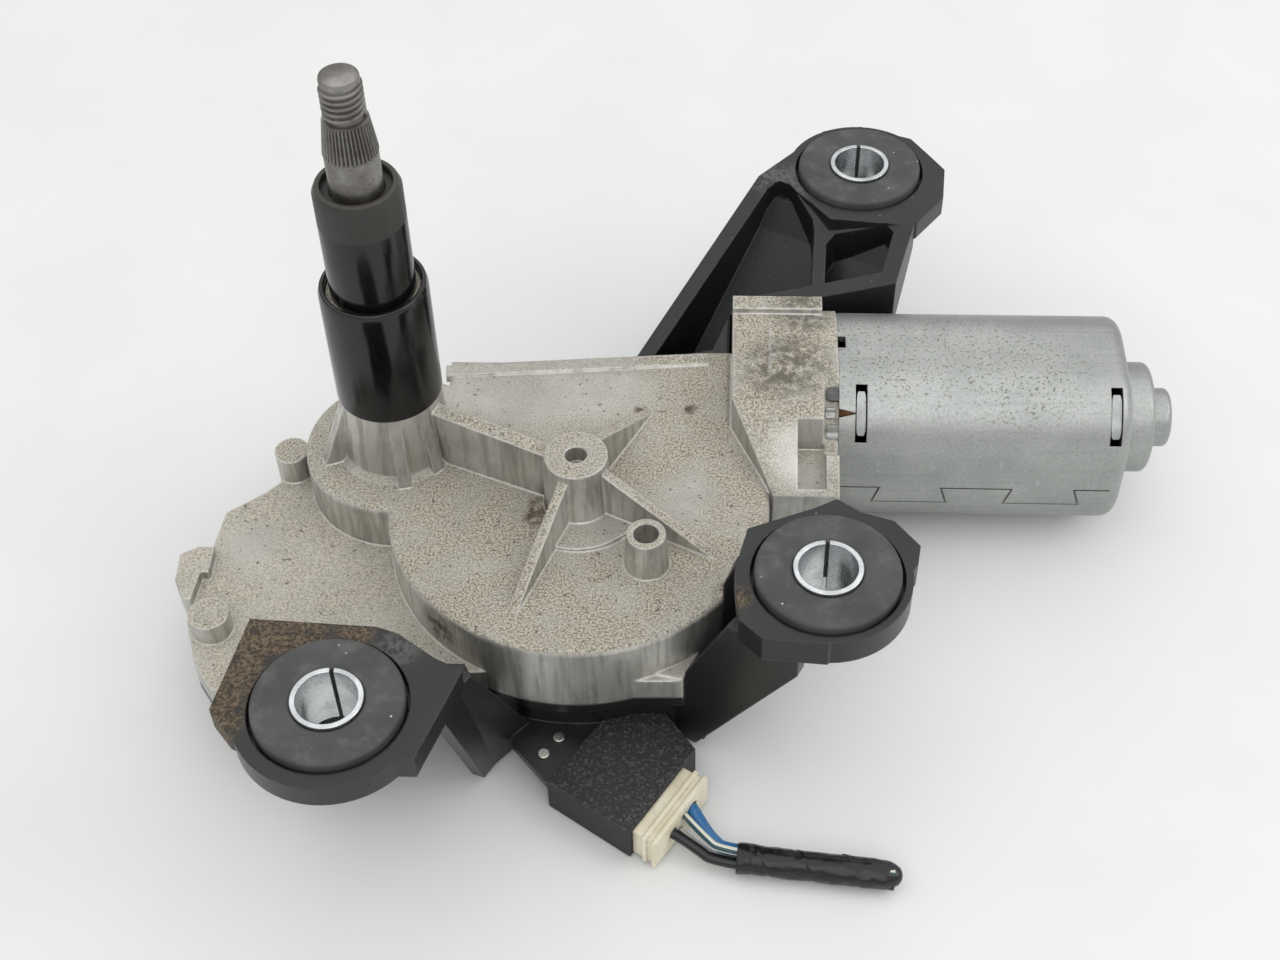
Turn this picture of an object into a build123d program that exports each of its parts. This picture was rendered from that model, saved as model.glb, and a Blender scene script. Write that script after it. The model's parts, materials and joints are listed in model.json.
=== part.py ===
from build123d import *
import math
import os

os.makedirs("parts", exist_ok=True)

# Rear wiper motor. Millimetres. The origin lies on the output spindle's axis, in the plane of
# the three mounting sleeves' top faces. +X runs along the electric motor, +Z towards the wiper arm.

# Levels of the casting and the moulding under it
plateau_z = -18.5
plate_z = -29.5
rim_z = -35.0
tub_floor_z = -48.5
stand_z = -50.5
casting_wall = 2.6
plate_thickness = 2.8
cover_wall = 2.4
cover_step = 1.0
cover_flange = 2.5

# Output spindle and its tower
spindle_tip_z = 73.0
pilot_r = 3.6
pilot_length = 1.6
thread_r = 3.95
thread_length = 7.6
cone_top_r = 4.3
cone_foot_r = 5.2
cone_length = 7.2
shaft_r = 5.0
spindle_foot_r = 4.0
running_fit = 0.05
bush_wall = 0.9
upper_bush_length = 16.0
lower_bush_length = 15.0
tower_top_z = 46.0
tower_shoulder_z = 24.0
tower_upper_r = 7.3
tower_lower_r = 9.2
neck_foot_r = 11.2
seal_height = 2.2
fit_gap = 0.1

# Black collars on the tower
upper_collar_top_z = 49.6
upper_collar_r = 8.3
collar_lip_r = 6.6
lower_collar_top_z = 25.7
lower_collar_foot_z = -2.4
lower_collar_r = 10.6
lower_collar_mouth_r = 10.2

# Drive: single-start worm, worm wheel, crank, toothed connecting rod and pinion
wheel_x = 38.4
wheel_y = -15.8
worm_module = 1.25
wheel_teeth = 50
worm_pitch_r = 4.35
worm_length = 27.0
worm_flank = 20.0
worm_backlash = 0.4
wheel_width = 8.0
axle_r = 3.0
crank_radius = 8.0
crank_pin_r = 3.0
gear_module = 1.3
pinion_teeth = 12
sector_teeth = 28
gear_backlash = 0.3
rod_length = 46.0
rod_thickness = 5.0
rod_top_z = -34.9
link_thickness = 2.2
link_gap = 0.2
sector_pin_r = 3.5

# Electric motor
can_across = 38.6
can_corner_r = 14.0
can_wall = 1.6
can_start_x = 91.0
can_length = 60.3
end_boss_r = 11.8
end_boss_length = 6.6
nub_r = 6.3
nub_length = 4.7
motor_shaft_r = 3.0
core_r = 11.5
core_front_room = 13.0
core_rear_room = 13.3
core_slots = 10
air_gap = 0.7
magnet_angle = 118.0
commutator_r = 6.6
commutator_length = 10.0
commutator_bars = 10

# Mounting ears: place of each sleeve, and the rubber and steel in it
ears = {"left": (-0.5, -78.5), "right": (86.6, -47.3), "rear": (97.0, 70.6)}
sleeve_r = 6.5
sleeve_bore_r = 5.4
sleeve_length = 13.5
sleeve_slit = 0.6
grommet_r = 13.5
grommet_neck_r = 11.4
grommet_top_z = -0.6
grommet_gap = 0.7
lower_flange_r = 13.0
lower_flange_height = 3.0
ear_top_z = -2.2
ear_thickness = {"left": 5.2, "right": 6.0, "rear": 7.2}
ear_plate_thickness = {"left": 5.2, "right": 6.0, "rear": 4.6}

# Worked out from the driving sizes
wheel_pitch_r = worm_module * wheel_teeth / 2
motor_y = wheel_y + wheel_pitch_r + worm_pitch_r
wheel_mid_z = -28.3
motor_z = wheel_mid_z
pinion_pitch_r = gear_module * pinion_teeth / 2
sector_pitch_r = gear_module * sector_teeth / 2
link_length = pinion_pitch_r + sector_pitch_r
ground = math.hypot(wheel_x, wheel_y)
ground_angle = math.degrees(math.atan2(wheel_y, wheel_x))
crank_reach = ground - crank_radius
spindle_corner = math.degrees(
    math.acos((link_length**2 + crank_reach**2 - rod_length**2) / (2 * link_length * crank_reach))
)
link_angle = ground_angle - spindle_corner


def polar(radius, angle, centre=(0, 0)):
    """Point at a radius and an angle in degrees round a centre."""
    turn = math.radians(angle)
    return (centre[0] + radius * math.cos(turn), centre[1] + radius * math.sin(turn))


def save(piece, node):
    """Labels a finished sub-part and writes it."""
    piece.part.label = node
    export_step(piece.part, f"parts/{node}.step")


wheel_centre = (wheel_x, wheel_y)
crank_point = polar(crank_reach, ground_angle)
sector_point = polar(link_length, link_angle)
rod_angle = math.degrees(
    math.atan2(crank_point[1] - sector_point[1], crank_point[0] - sector_point[0])
)

# Outlines of the casting, seen from above
drum_r = 38.4
plateau_r = 19.3
rear_wall_y = motor_y + 8.6
rear_top_y = 22.8
rear_top_turn = 4.9
rear_slope_run = 5.6
rear_slope_drop = 6.5
tail_x = 8.5
block_left_x = 69.0
block_right_x = 88.0
block_toe_x = 90.8
block_rear_y = motor_y + 17.6
block_front_y = -14.0
plate_outline = [
    (-4.0, 8.0),
    (-19.0, 6.0),
    (-28.7, -5.0),
    (-36.2, -11.1),
    (-37.4, -24.5),
    (-38.6, -39.8),
    (-35.1, -50.1),
    (-30.7, -56.2),
    (-10.0, -56.2),
    (10.0, -51.5),
    (22.0, -50.7),
    (34.0, -30.0),
]
toe_outline = [(50.0, -52.2), (60.2, -51.9), (64.2, -42.8), (66.0, -30.0), (50.0, -30.0)]
block_outline = [
    (block_left_x, block_rear_y),
    (block_left_x, 5.0),
    (77.5, block_front_y),
    (block_toe_x, block_front_y),
    (block_toe_x, 1.0),
    (block_right_x, 1.0),
    (block_right_x, block_rear_y),
]


def inset_polygon(points, inset):
    """A polygon of the outline, drawn inwards by the inset."""
    with BuildSketch() as shape:
        with BuildLine():
            Polyline(*points, close=True)
        make_face()
        if inset:
            offset(amount=-inset, kind=Kind.INTERSECTION)
    return shape.sketch


def drum_shape(inset):
    """Plateau round the spindle, the wheel's drum and the strip behind them, drawn in by the inset."""
    with BuildSketch() as shape:
        Circle(plateau_r - inset)
        with Locations(wheel_centre):
            Circle(drum_r - inset)
        with Locations((tail_x + inset, wheel_y)):
            Rectangle(
                block_left_x - tail_x - inset,
                rear_wall_y - wheel_y - inset,
                align=(Align.MIN, Align.MIN),
            )
    return shape.sketch


def skirt_shape(inset, with_block=True):
    """Outline of the casting's rim, drawn in by the inset, with or without the motor's block."""
    with BuildSketch() as shape:
        add(drum_shape(inset))
        add(inset_polygon(plate_outline, inset))
        add(inset_polygon(toe_outline, inset))
        if with_block:
            add(inset_polygon(block_outline, inset))
    return shape.sketch


# Screw places, each with the top of the casting's post over it
screws = [
    ((-23.4, 1.2), -23.1, 3.6),
    ((-33.0, -41.5), -24.5, 4.0),
    ((15.8, -46.2), -31.0, 3.4),
    ((59.0, -46.4), -29.0, 3.8),
]
screw_r = 1.5
screw_head_r = 2.9
screw_head_height = 1.8
screw_seat_z = -40.0
screw_cover = 1.2

# Centre boss, small ring boss and ribs on top of the drum
boss_top_z = -5.0
boss_r = 6.3
boss_foot_r = 7.0
boss_hole_r = 2.2
boss_hole_depth = 4.0
ring_boss_at = (52.7, -31.8)
ring_boss_top_z = -9.7
ring_boss_r = 3.8
ring_boss_hole_r = 2.5
rib_width = 2.0
front_rib_angle = -110.9
right_rib_angle = -26.5
rear_rib_angle = 62.8
front_rib_reach = 30.5
right_rib_reach = 30.9
rear_rib_reach = 28.2
step_r = 13.5
spine_top_z = -4.6
spine_width = 3.2
block_top_z = motor_z + can_across / 2 - 0.3
flange_r = can_corner_r + 0.4
flange_half = can_across / 2 + 0.4
chamber_r = 15.0
chamber_x = 79.0
barrel_x = chamber_x - 2.2
tunnel_r = worm_pitch_r + worm_module + 0.9
throat_x = 68.0
front_bearing_x = 70.0
bearing_r = 6.2
tail_bush_x = 14.0
tail_bush_length = 7.0
tail_bush_r = 5.0
thrust_screw_r = 3.5
washer_thickness = 0.8
wheel_hub_gap = 0.4
pocket_x = 82.4
pocket_length = 5.8
pocket_front_y = -12.6
pocket_rear_y = 1.2
pocket_floor_z = -20.5
crimp_notch_depth = 1.5
crimp_notch_width = 17.0
crimp_notch_length = 3.2

# Flat tab and connector at the front of the moulding
tab_top_z = -42.5
tab_thickness = 2.0
tab_outline = [(25.6, -48.0), (27.0, -58.4), (34.6, -67.4), (43.9, -53.8), (47.0, -48.0)]

tower_bore_r = shaft_r + running_fit + bush_wall
chamber_top_z = plateau_z - casting_wall - 0.4
wheel_top_z = wheel_mid_z + wheel_width / 2
wheel_foot_z = wheel_mid_z - wheel_width / 2
pinion_top_z = rod_top_z + 0.5
pinion_foot_z = rod_top_z - rod_thickness
link_top_z = pinion_foot_z - link_gap
link_foot_z = link_top_z - link_thickness
spindle_foot_z = link_foot_z - 1.8
hub_foot_z = pinion_top_z + washer_thickness + fit_gap
worm_tip_r = worm_pitch_r + 1.0
worm_root_r = worm_pitch_r - 1.3
throat_r = worm_tip_r + 0.35
wheel_clear_y = wheel_y + wheel_pitch_r + 2.2


def crimp_plane(x, depth):
    """Plane below the motor's front top corner by a depth, with its X along the motor."""
    turn = math.radians(45)
    reach = (can_across / 2 - can_corner_r) * math.sqrt(2) + can_corner_r
    plane = Plane(
        origin=(x, motor_y, motor_z),
        x_dir=(1, 0, 0),
        z_dir=(0, -math.sin(turn), math.cos(turn)),
    )
    return plane.offset(reach - depth)


def rib_plane(angle, centre):
    """Upright plane through a centre, its X pointing out along an angle."""
    turn = math.radians(angle)
    out = (math.cos(turn), math.sin(turn), 0)
    side = (math.sin(turn), -math.cos(turn), 0)
    return Plane(origin=(centre[0], centre[1], 0), x_dir=out, z_dir=side)


rear_turn = math.radians(rear_top_turn)
rear_slope_plane = Plane(
    origin=(tail_x - 1, rear_top_y, plateau_z),
    x_dir=(-math.sin(rear_turn), math.cos(rear_turn), 0),
    z_dir=(math.cos(rear_turn), math.sin(rear_turn), 0),
)

with BuildPart() as gear_housing:
    # Low plate with its rim, then the drum and the spindle's plateau
    with BuildSketch(Plane.XY.offset(rim_z)):
        add(skirt_shape(0))
    extrude(amount=plate_z - rim_z)
    with BuildSketch(Plane.XY.offset(rim_z)):
        add(drum_shape(0))
    extrude(amount=plateau_z - rim_z)
    drum_top = faces().filter_by(Axis.Z).filter_by(lambda f: abs(f.center().Z - plateau_z) < 0.01)
    fillet(drum_top.sort_by(SortBy.AREA)[-1].outer_wire().edges(), radius=1.3)
    # Rear wall slopes out over the worm's tunnel, below a slightly slanted top edge
    with BuildSketch(rear_slope_plane):
        with BuildLine():
            Polyline(
                (0, 0),
                (rear_slope_run, -rear_slope_drop),
                (20, -rear_slope_drop),
                (20, 2),
                (0, 2),
                close=True,
            )
        make_face()
    extrude(amount=block_left_x - tail_x + 3, mode=Mode.SUBTRACT)
    with BuildSketch(Plane.XY.offset(plateau_z - 2)):
        with Locations((tail_x, rear_top_y - 4)):
            Rectangle(15.0, 5.0, align=(Align.MIN, Align.MIN))
    extrude(amount=2)
    # Motor block: its plan cut to the side profile with the sloping front
    with BuildSketch(Plane.XY.offset(rim_z)):
        with BuildLine():
            Polyline(*block_outline, close=True)
        make_face()
    extrude(amount=block_top_z - rim_z + 1.4)
    with BuildSketch(Plane.YZ.offset(block_left_x - 1)):
        with BuildLine():
            Polyline(
                (block_front_y - 1, plateau_z),
                (5.5, block_top_z),
                (motor_y + 10.5, block_top_z),
                (motor_y + 10.8, block_top_z + 1.4),
                (motor_y + 14.6, block_top_z + 1.4),
                (block_rear_y + 1, block_top_z - 4.5),
                (block_rear_y + 1, block_top_z + 9),
                (block_front_y - 1, block_top_z + 9),
                close=True,
            )
        make_face()
    extrude(amount=block_toe_x - block_left_x + 2, mode=Mode.SUBTRACT)
    # Flange that the motor's can seats on
    with BuildSketch(Plane.YZ.offset(can_start_x)):
        with Locations((motor_y, motor_z)):
            RectangleRounded(2 * flange_half, 2 * flange_half, flange_r)
    extrude(amount=barrel_x - can_start_x)
    # Recess in the block's sloping front, and the notch that the can is crimped into
    with BuildSketch(Plane.XY.offset(pocket_floor_z)):
        with Locations((pocket_x, pocket_front_y)):
            Rectangle(pocket_length, pocket_rear_y - pocket_front_y, align=(Align.MIN, Align.MIN))
    extrude(amount=20, mode=Mode.SUBTRACT)
    with BuildSketch(crimp_plane(can_start_x - crimp_notch_length / 2, crimp_notch_depth)):
        Rectangle(crimp_notch_length, crimp_notch_width)
    extrude(amount=10, mode=Mode.SUBTRACT)
    # Neck and stepped tower of the spindle
    with BuildSketch(Plane.XZ):
        with BuildLine():
            Polyline(
                (0, rim_z + 6),
                (neck_foot_r + 1.6, plateau_z - 0.5),
                (neck_foot_r, plateau_z + 1.4),
                (tower_lower_r + 0.9, lower_collar_foot_z),
                (tower_lower_r, lower_collar_foot_z),
                (tower_lower_r, tower_shoulder_z),
                (tower_upper_r, tower_shoulder_z),
                (tower_upper_r, tower_top_z),
                (0, tower_top_z),
                close=True,
            )
        make_face()
    revolve(axis=Axis.Z)
    # Fins of the neck: a long one to the left, short ones to the front and behind
    for fin_angle, fin_reach in ((203, 15.8), (283, 13.6), (318, 12.6), (100, 14.5), (150, 13.0)):
        with BuildSketch(rib_plane(fin_angle, (0, 0))):
            with BuildLine():
                Polyline(
                    (2, plateau_z - 1),
                    (fin_reach, plateau_z - 1),
                    (fin_reach, plateau_z + 0.6),
                    (tower_lower_r + 0.7, lower_collar_foot_z - 0.6),
                    (2, lower_collar_foot_z - 0.6),
                    close=True,
                )
            make_face()
        extrude(amount=1.3, both=True)
    # Full-height spine from the neck to the centre boss
    with BuildSketch(rib_plane(ground_angle, (0, 0))):
        with BuildLine():
            Polyline(
                (4, plateau_z - 1),
                (ground, plateau_z - 1),
                (ground, boss_top_z - 1.4),
                (ground - boss_r, boss_top_z - 1.4),
                (tower_lower_r, spine_top_z),
                (4, spine_top_z),
                close=True,
            )
        make_face()
    extrude(amount=spine_width / 2, both=True, taper=3)
    # Centre boss with its draft, and the three ribs that run down from it
    with BuildSketch(Plane.XY.offset(plateau_z - 1)):
        with Locations(wheel_centre):
            Circle(boss_foot_r)
    with BuildSketch(Plane.XY.offset(boss_top_z)):
        with Locations(wheel_centre):
            Circle(boss_r)
    loft()
    for rib_angle, rib_reach in (
        (front_rib_angle, front_rib_reach),
        (right_rib_angle, right_rib_reach),
        (rear_rib_angle, rear_rib_reach),
    ):
        with BuildSketch(rib_plane(rib_angle, wheel_centre)):
            with BuildLine():
                Polyline(
                    (1, plateau_z - 1),
                    (rib_reach + 2, plateau_z - 1),
                    (rib_reach, plateau_z + 0.3),
                    (boss_r, boss_top_z - 1.8),
                    (1, boss_top_z - 1.8),
                    close=True,
                )
            make_face()
        extrude(amount=rib_width / 2, both=True, taper=4)
    # Shallow raised step between the two front ribs
    with BuildSketch(Plane.XY.offset(plateau_z - 1)):
        with BuildLine():
            Line(wheel_centre, polar(step_r, front_rib_angle, wheel_centre))
            ThreePointArc(
                polar(step_r, front_rib_angle, wheel_centre),
                polar(step_r, (front_rib_angle + right_rib_angle) / 2, wheel_centre),
                polar(step_r, right_rib_angle, wheel_centre),
            )
            Line(polar(step_r, right_rib_angle, wheel_centre), wheel_centre)
        make_face()
    extrude(amount=1.9)
    # Small ring boss
    with BuildSketch(Plane.XY.offset(plateau_z - 1)):
        with Locations(ring_boss_at):
            Circle(ring_boss_r + 0.7)
    with BuildSketch(Plane.XY.offset(ring_boss_top_z)):
        with Locations(ring_boss_at):
            Circle(ring_boss_r)
    loft()
    # Raised strip along the rear edge and the fillet rib beside the block
    with BuildSketch(rear_slope_plane):
        Polygon((-4.2, -1), (-0.8, -1), (-0.8, 0.6), (-3.8, 0.6), align=None)
    extrude(amount=block_left_x - tail_x - 4)
    with BuildSketch(Plane.XY.offset(plateau_z - 1)):
        with BuildLine():
            Polyline((62.6, 25.0), (66.4, 25.0), (70.5, 12.0), (66.2, 9.5), close=True)
        make_face()
    extrude(amount=6.0, taper=8)
    # Posts and lugs that the cover's screws enter
    for place, top_z, post_r in screws[:2]:
        with BuildSketch(Plane.XY.offset(rim_z)):
            with Locations(place):
                Circle(post_r)
        extrude(amount=top_z - rim_z)
    with BuildSketch(Plane.XY.offset(rim_z)):
        with BuildLine():
            Polyline((11.6, -46.4), (13.8, -40.4), (21.2, -45.6), (18.7, -50.3), close=True)
        make_face()
    extrude(amount=screws[2][1] - rim_z)
    with BuildSketch(Plane.XY.offset(rim_z)):
        with BuildLine():
            Polyline((54.0, -50.4), (60.2, -51.9), (64.2, -42.8), (58.0, -40.0), close=True)
        make_face()
    extrude(amount=screws[3][1] - rim_z)
    # Hook lug at the left edge
    with BuildSketch(Plane.XY.offset(rim_z)):
        with BuildLine():
            Polyline(
                (-36.0, -22.5),
                (-39.2, -22.5),
                (-42.6, -24.6),
                (-42.2, -31.5),
                (-39.6, -36.0),
                (-38.2, -36.0),
                (-37.6, -29.0),
                (-36.0, -29.0),
                close=True,
            )
        make_face()
    extrude(amount=8.0)
    # Inside: the low chamber, the wheel's chamber, and the hub of the lower bush
    with BuildSketch(Plane.XY.offset(rim_z)):
        add(skirt_shape(casting_wall))
        with Locations((chamber_x - casting_wall, 0)):
            Rectangle(60, 160, align=(Align.MIN, Align.CENTER), mode=Mode.SUBTRACT)
        for place, top_z, post_r in screws:
            with Locations(place):
                Circle(post_r, mode=Mode.SUBTRACT)
        Circle(tower_bore_r + casting_wall, mode=Mode.SUBTRACT)
        with Locations((throat_x, motor_y)):
            Rectangle(20, 2 * bearing_r + 3, align=(Align.MIN, Align.CENTER), mode=Mode.SUBTRACT)
    extrude(amount=plate_z - plate_thickness - rim_z, mode=Mode.SUBTRACT)
    with BuildSketch(Plane.XY.offset(rim_z)):
        add(drum_shape(casting_wall))
        with Locations((throat_x - 1, motor_y - bearing_r - 6)):
            Rectangle(60, 60, align=(Align.MIN, Align.MIN), mode=Mode.SUBTRACT)
        with Locations((tail_x, wheel_clear_y)):
            Rectangle(80, 40, align=(Align.MIN, Align.MIN), mode=Mode.SUBTRACT)
        Circle(tower_bore_r + casting_wall, mode=Mode.SUBTRACT)
    extrude(amount=chamber_top_z - rim_z, mode=Mode.SUBTRACT)
    with BuildSketch(Plane.XY.offset(rim_z)):
        with Locations((tail_bush_x + tail_bush_length, motor_y)):
            Rectangle(throat_x - tail_bush_x - tail_bush_length, 2 * tunnel_r, align=(Align.MIN, Align.CENTER))
    extrude(amount=motor_z - rim_z, mode=Mode.SUBTRACT)
    with BuildSketch(Plane.XY.offset(rim_z)):
        Circle(tower_bore_r + casting_wall + 0.2)
    extrude(amount=hub_foot_z - rim_z, mode=Mode.SUBTRACT)
    # Hub that the wheel's axle is pressed into
    with BuildSketch(Plane.XY.offset(wheel_top_z + wheel_hub_gap)):
        with Locations(wheel_centre):
            Circle(axle_r + 2.6)
    extrude(amount=plateau_z - wheel_top_z - 2)
    with BuildSketch(Plane.XY.offset(wheel_top_z)):
        with Locations(wheel_centre):
            Circle(axle_r)
    extrude(amount=boss_top_z - boss_hole_depth - 2.0 - wheel_top_z, mode=Mode.SUBTRACT)
    # Worm tunnel, front bearing seat and the motor's mouth
    for start_x, end_x, bore_r in (
        (tail_x - 1, tail_bush_x, thrust_screw_r),
        (tail_bush_x, tail_bush_x + tail_bush_length, tail_bush_r),
        (tail_bush_x + tail_bush_length, throat_x, tunnel_r),
        (throat_x, front_bearing_x, throat_r),
        (front_bearing_x, chamber_x, bearing_r),
    ):
        with BuildSketch(Plane.YZ.offset(start_x)):
            with Locations((motor_y, motor_z)):
                Circle(bore_r)
        extrude(amount=end_x - start_x, mode=Mode.SUBTRACT)
    with BuildSketch(Plane.YZ.offset(chamber_x)):
        with Locations((motor_y, motor_z)):
            Circle(chamber_r)
    extrude(amount=40, mode=Mode.SUBTRACT)
    # Bore of the tower, the blind hole of the centre boss and the ring boss's hole
    with BuildSketch(Plane.XY.offset(rim_z)):
        Circle(tower_bore_r)
    extrude(amount=tower_top_z - rim_z + 1, mode=Mode.SUBTRACT)
    with BuildSketch(Plane.XY.offset(boss_top_z)):
        with Locations(wheel_centre):
            Circle(boss_hole_r)
    extrude(amount=-boss_hole_depth, mode=Mode.SUBTRACT)
    with BuildSketch(Plane.XY.offset(ring_boss_top_z)):
        with Locations(ring_boss_at):
            Circle(ring_boss_hole_r)
    extrude(amount=-6.0, mode=Mode.SUBTRACT)
    # Blind screw holes from below
    for place, top_z, post_r in screws:
        with BuildSketch(Plane.XY.offset(rim_z)):
            with Locations(place):
                Circle(screw_r)
        extrude(amount=top_z - screw_cover - rim_z, mode=Mode.SUBTRACT)
save(gear_housing, "gear_housing")

# Black moulding under the casting: tub, flange and three arms to the mounting ears
arm_clearance = 0.4
tub_floor_thickness = 2.5
foot_rib_inset = 5.0
foot_rib_width = 2.2
arm_wall = 2.8
ear_plates = {
    "left": [
        (-17.5, -60.0),
        (5.6, -61.3),
        (9.8, -62.8),
        (16.7, -67.9),
        (22.0, -70.6),
        (20.6, -75.0),
        (17.3, -84.6),
        (15.7, -89.4),
        (12.6, -89.4),
        (-0.5, -93.0),
        (-17.2, -84.5),
        (-21.0, -80.0),
    ],
    "right": [
        (72.0, -36.5),
        (84.5, -31.2),
        (88.8, -28.8),
        (93.2, -32.0),
        (99.4, -34.1),
        (103.9, -40.1),
        (103.2, -44.4),
        (99.5, -50.0),
        (90.0, -60.2),
        (86.3, -63.3),
        (74.6, -62.4),
        (70.4, -58.0),
        (69.6, -46.5),
    ],
    "rear": [
        (74.5, 68.2),
        (89.5, 84.8),
        (98.0, 86.6),
        (109.3, 82.2),
        (113.8, 75.0),
        (116.2, 71.0),
        (115.2, 61.2),
        (108.9, 52.6),
        (106.0, 51.8),
        (90.0, 53.6),
        (84.0, 62.0),
    ],
}
ear_rings = {"left": 17.0, "right": 15.6, "rear": 15.9}
ear_foot_z = {side: ear_top_z - ear_thickness[side] for side in ears}
ear_recess = 3.0
cover_front_x = barrel_x - 0.3

# Rear arm: side profile along its slope, seen square to the line across the ear's root
rear_arm_turn = math.radians(-27.2)
rear_root = (74.5, 68.2)
rear_arm_plane = Plane(
    origin=(0, 0, 0),
    x_dir=(-math.sin(rear_arm_turn), math.cos(rear_arm_turn), 0),
    z_dir=(math.cos(rear_arm_turn), math.sin(rear_arm_turn), 0),
)
rear_root_reach = -rear_root[0] * math.sin(rear_arm_turn) + rear_root[1] * math.cos(rear_arm_turn)
rear_arm_slope = 24.8 / 41.7
rear_arm_front_y = 40.2
rear_arm_depth = 6.0
arm_reach_limit = 150.0
rear_arm_plan = [
    (46.0, rear_wall_y + arm_clearance),
    (47.9, 35.0),
    rear_root,
    (84.0, 74.0),
    (104.0, 66.0),
    (109.0, 56.0),
    (108.6, 52.8),
    (104.2, rear_arm_front_y),
    (68.0, rear_arm_front_y),
    (68.0, rear_wall_y + arm_clearance),
]
rear_pockets = [
    [
        (51.2, 33.6),
        (76.6, 65.2),
        (79.2, 66.6),
        (81.6, 65.2),
        (86.4, 56.8),
        (86.8, 54.0),
        (86.2, 43.0),
        (70.0, 43.0),
        (64.8, 33.6),
    ],
    [(89.0, 43.0), (89.4, 51.0), (91.4, 52.8), (102.4, 52.4), (103.8, 50.8), (101.2, 43.0)],
]


def rear_slope_z(reach):
    """Height of the rear arm's sloping top at a reach along it."""
    return ear_top_z - max(0, rear_root_reach - reach) * rear_arm_slope


with BuildPart() as rear_arm:
    with BuildSketch(Plane.XY.offset(tub_floor_z)):
        with BuildLine():
            Polyline(*rear_arm_plan, close=True)
        make_face()
    extrude(amount=ear_top_z - tub_floor_z)
    with BuildSketch(rear_arm_plane):
        with BuildLine():
            Polyline(
                (36, tub_floor_z),
                (60, tub_floor_z),
                (rear_root_reach - 3, ear_foot_z["rear"] - rear_arm_depth),
                (rear_root_reach + 2, ear_foot_z["rear"]),
                (arm_reach_limit, ear_foot_z["rear"]),
                (arm_reach_limit, ear_top_z),
                (rear_root_reach, ear_top_z),
                (36, rear_slope_z(36)),
                close=True,
            )
        make_face()
    extrude(amount=200, both=True, mode=Mode.INTERSECT)

with BuildPart() as rear_hollow:
    for pocket in rear_pockets:
        with BuildSketch(Plane.XY.offset(tub_floor_z)):
            with BuildLine():
                Polyline(*pocket, close=True)
            make_face()
        extrude(amount=ear_top_z - tub_floor_z + 1)
    with BuildSketch(rear_arm_plane):
        with BuildLine():
            Polyline(
                (30, tub_floor_z + arm_wall),
                (60 - arm_wall, tub_floor_z + arm_wall),
                (rear_root_reach - 4.5, ear_foot_z["rear"] - rear_arm_depth + arm_wall),
                (rear_root_reach, ear_foot_z["rear"] + arm_wall),
                (arm_reach_limit, ear_foot_z["rear"] + arm_wall),
                (arm_reach_limit, 20),
                (30, 20),
                close=True,
            )
        make_face()
    extrude(amount=200, both=True, mode=Mode.INTERSECT)

# Front arms. The left one's bent wall is drawn at the ear and at the tub's floor, outer side first
left_wall_top = [(18.9, -78.4), (20.9, -71.6), (23.0, -68.6), (20.9, -66.6), (18.4, -70.8), (16.4, -77.8)]
left_wall_foot = [(21.4, -62.4), (23.3, -59.0), (31.0, -50.5), (28.0, -49.6), (20.9, -57.8), (18.9, -61.6)]
left_far_from = (-15.0, -76.0)
left_far_to = (-13.0, -50.0)
left_webs = [(-13.6, 19.2, 0.0), (5.5, 16.0, -6.2)]
right_wall_from = (57.2, -48.6)
right_wall_to = (81.8, -61.4)
right_back_from = (68.0, -40.0)
right_back_to = (84.0, -44.0)


def wall_plane(start, end):
    """Upright plane from one plan point towards another, its X along the wall."""
    length = math.dist(start, end)
    along = ((end[0] - start[0]) / length, (end[1] - start[1]) / length, 0)
    across = (along[1], -along[0], 0)
    return Plane(origin=(start[0], start[1], 0), x_dir=along, z_dir=across)


left_far_length = math.dist(left_far_from, left_far_to)
right_wall_length = math.dist(right_wall_from, right_wall_to)
right_back_length = math.dist(right_back_from, right_back_to)

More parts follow.
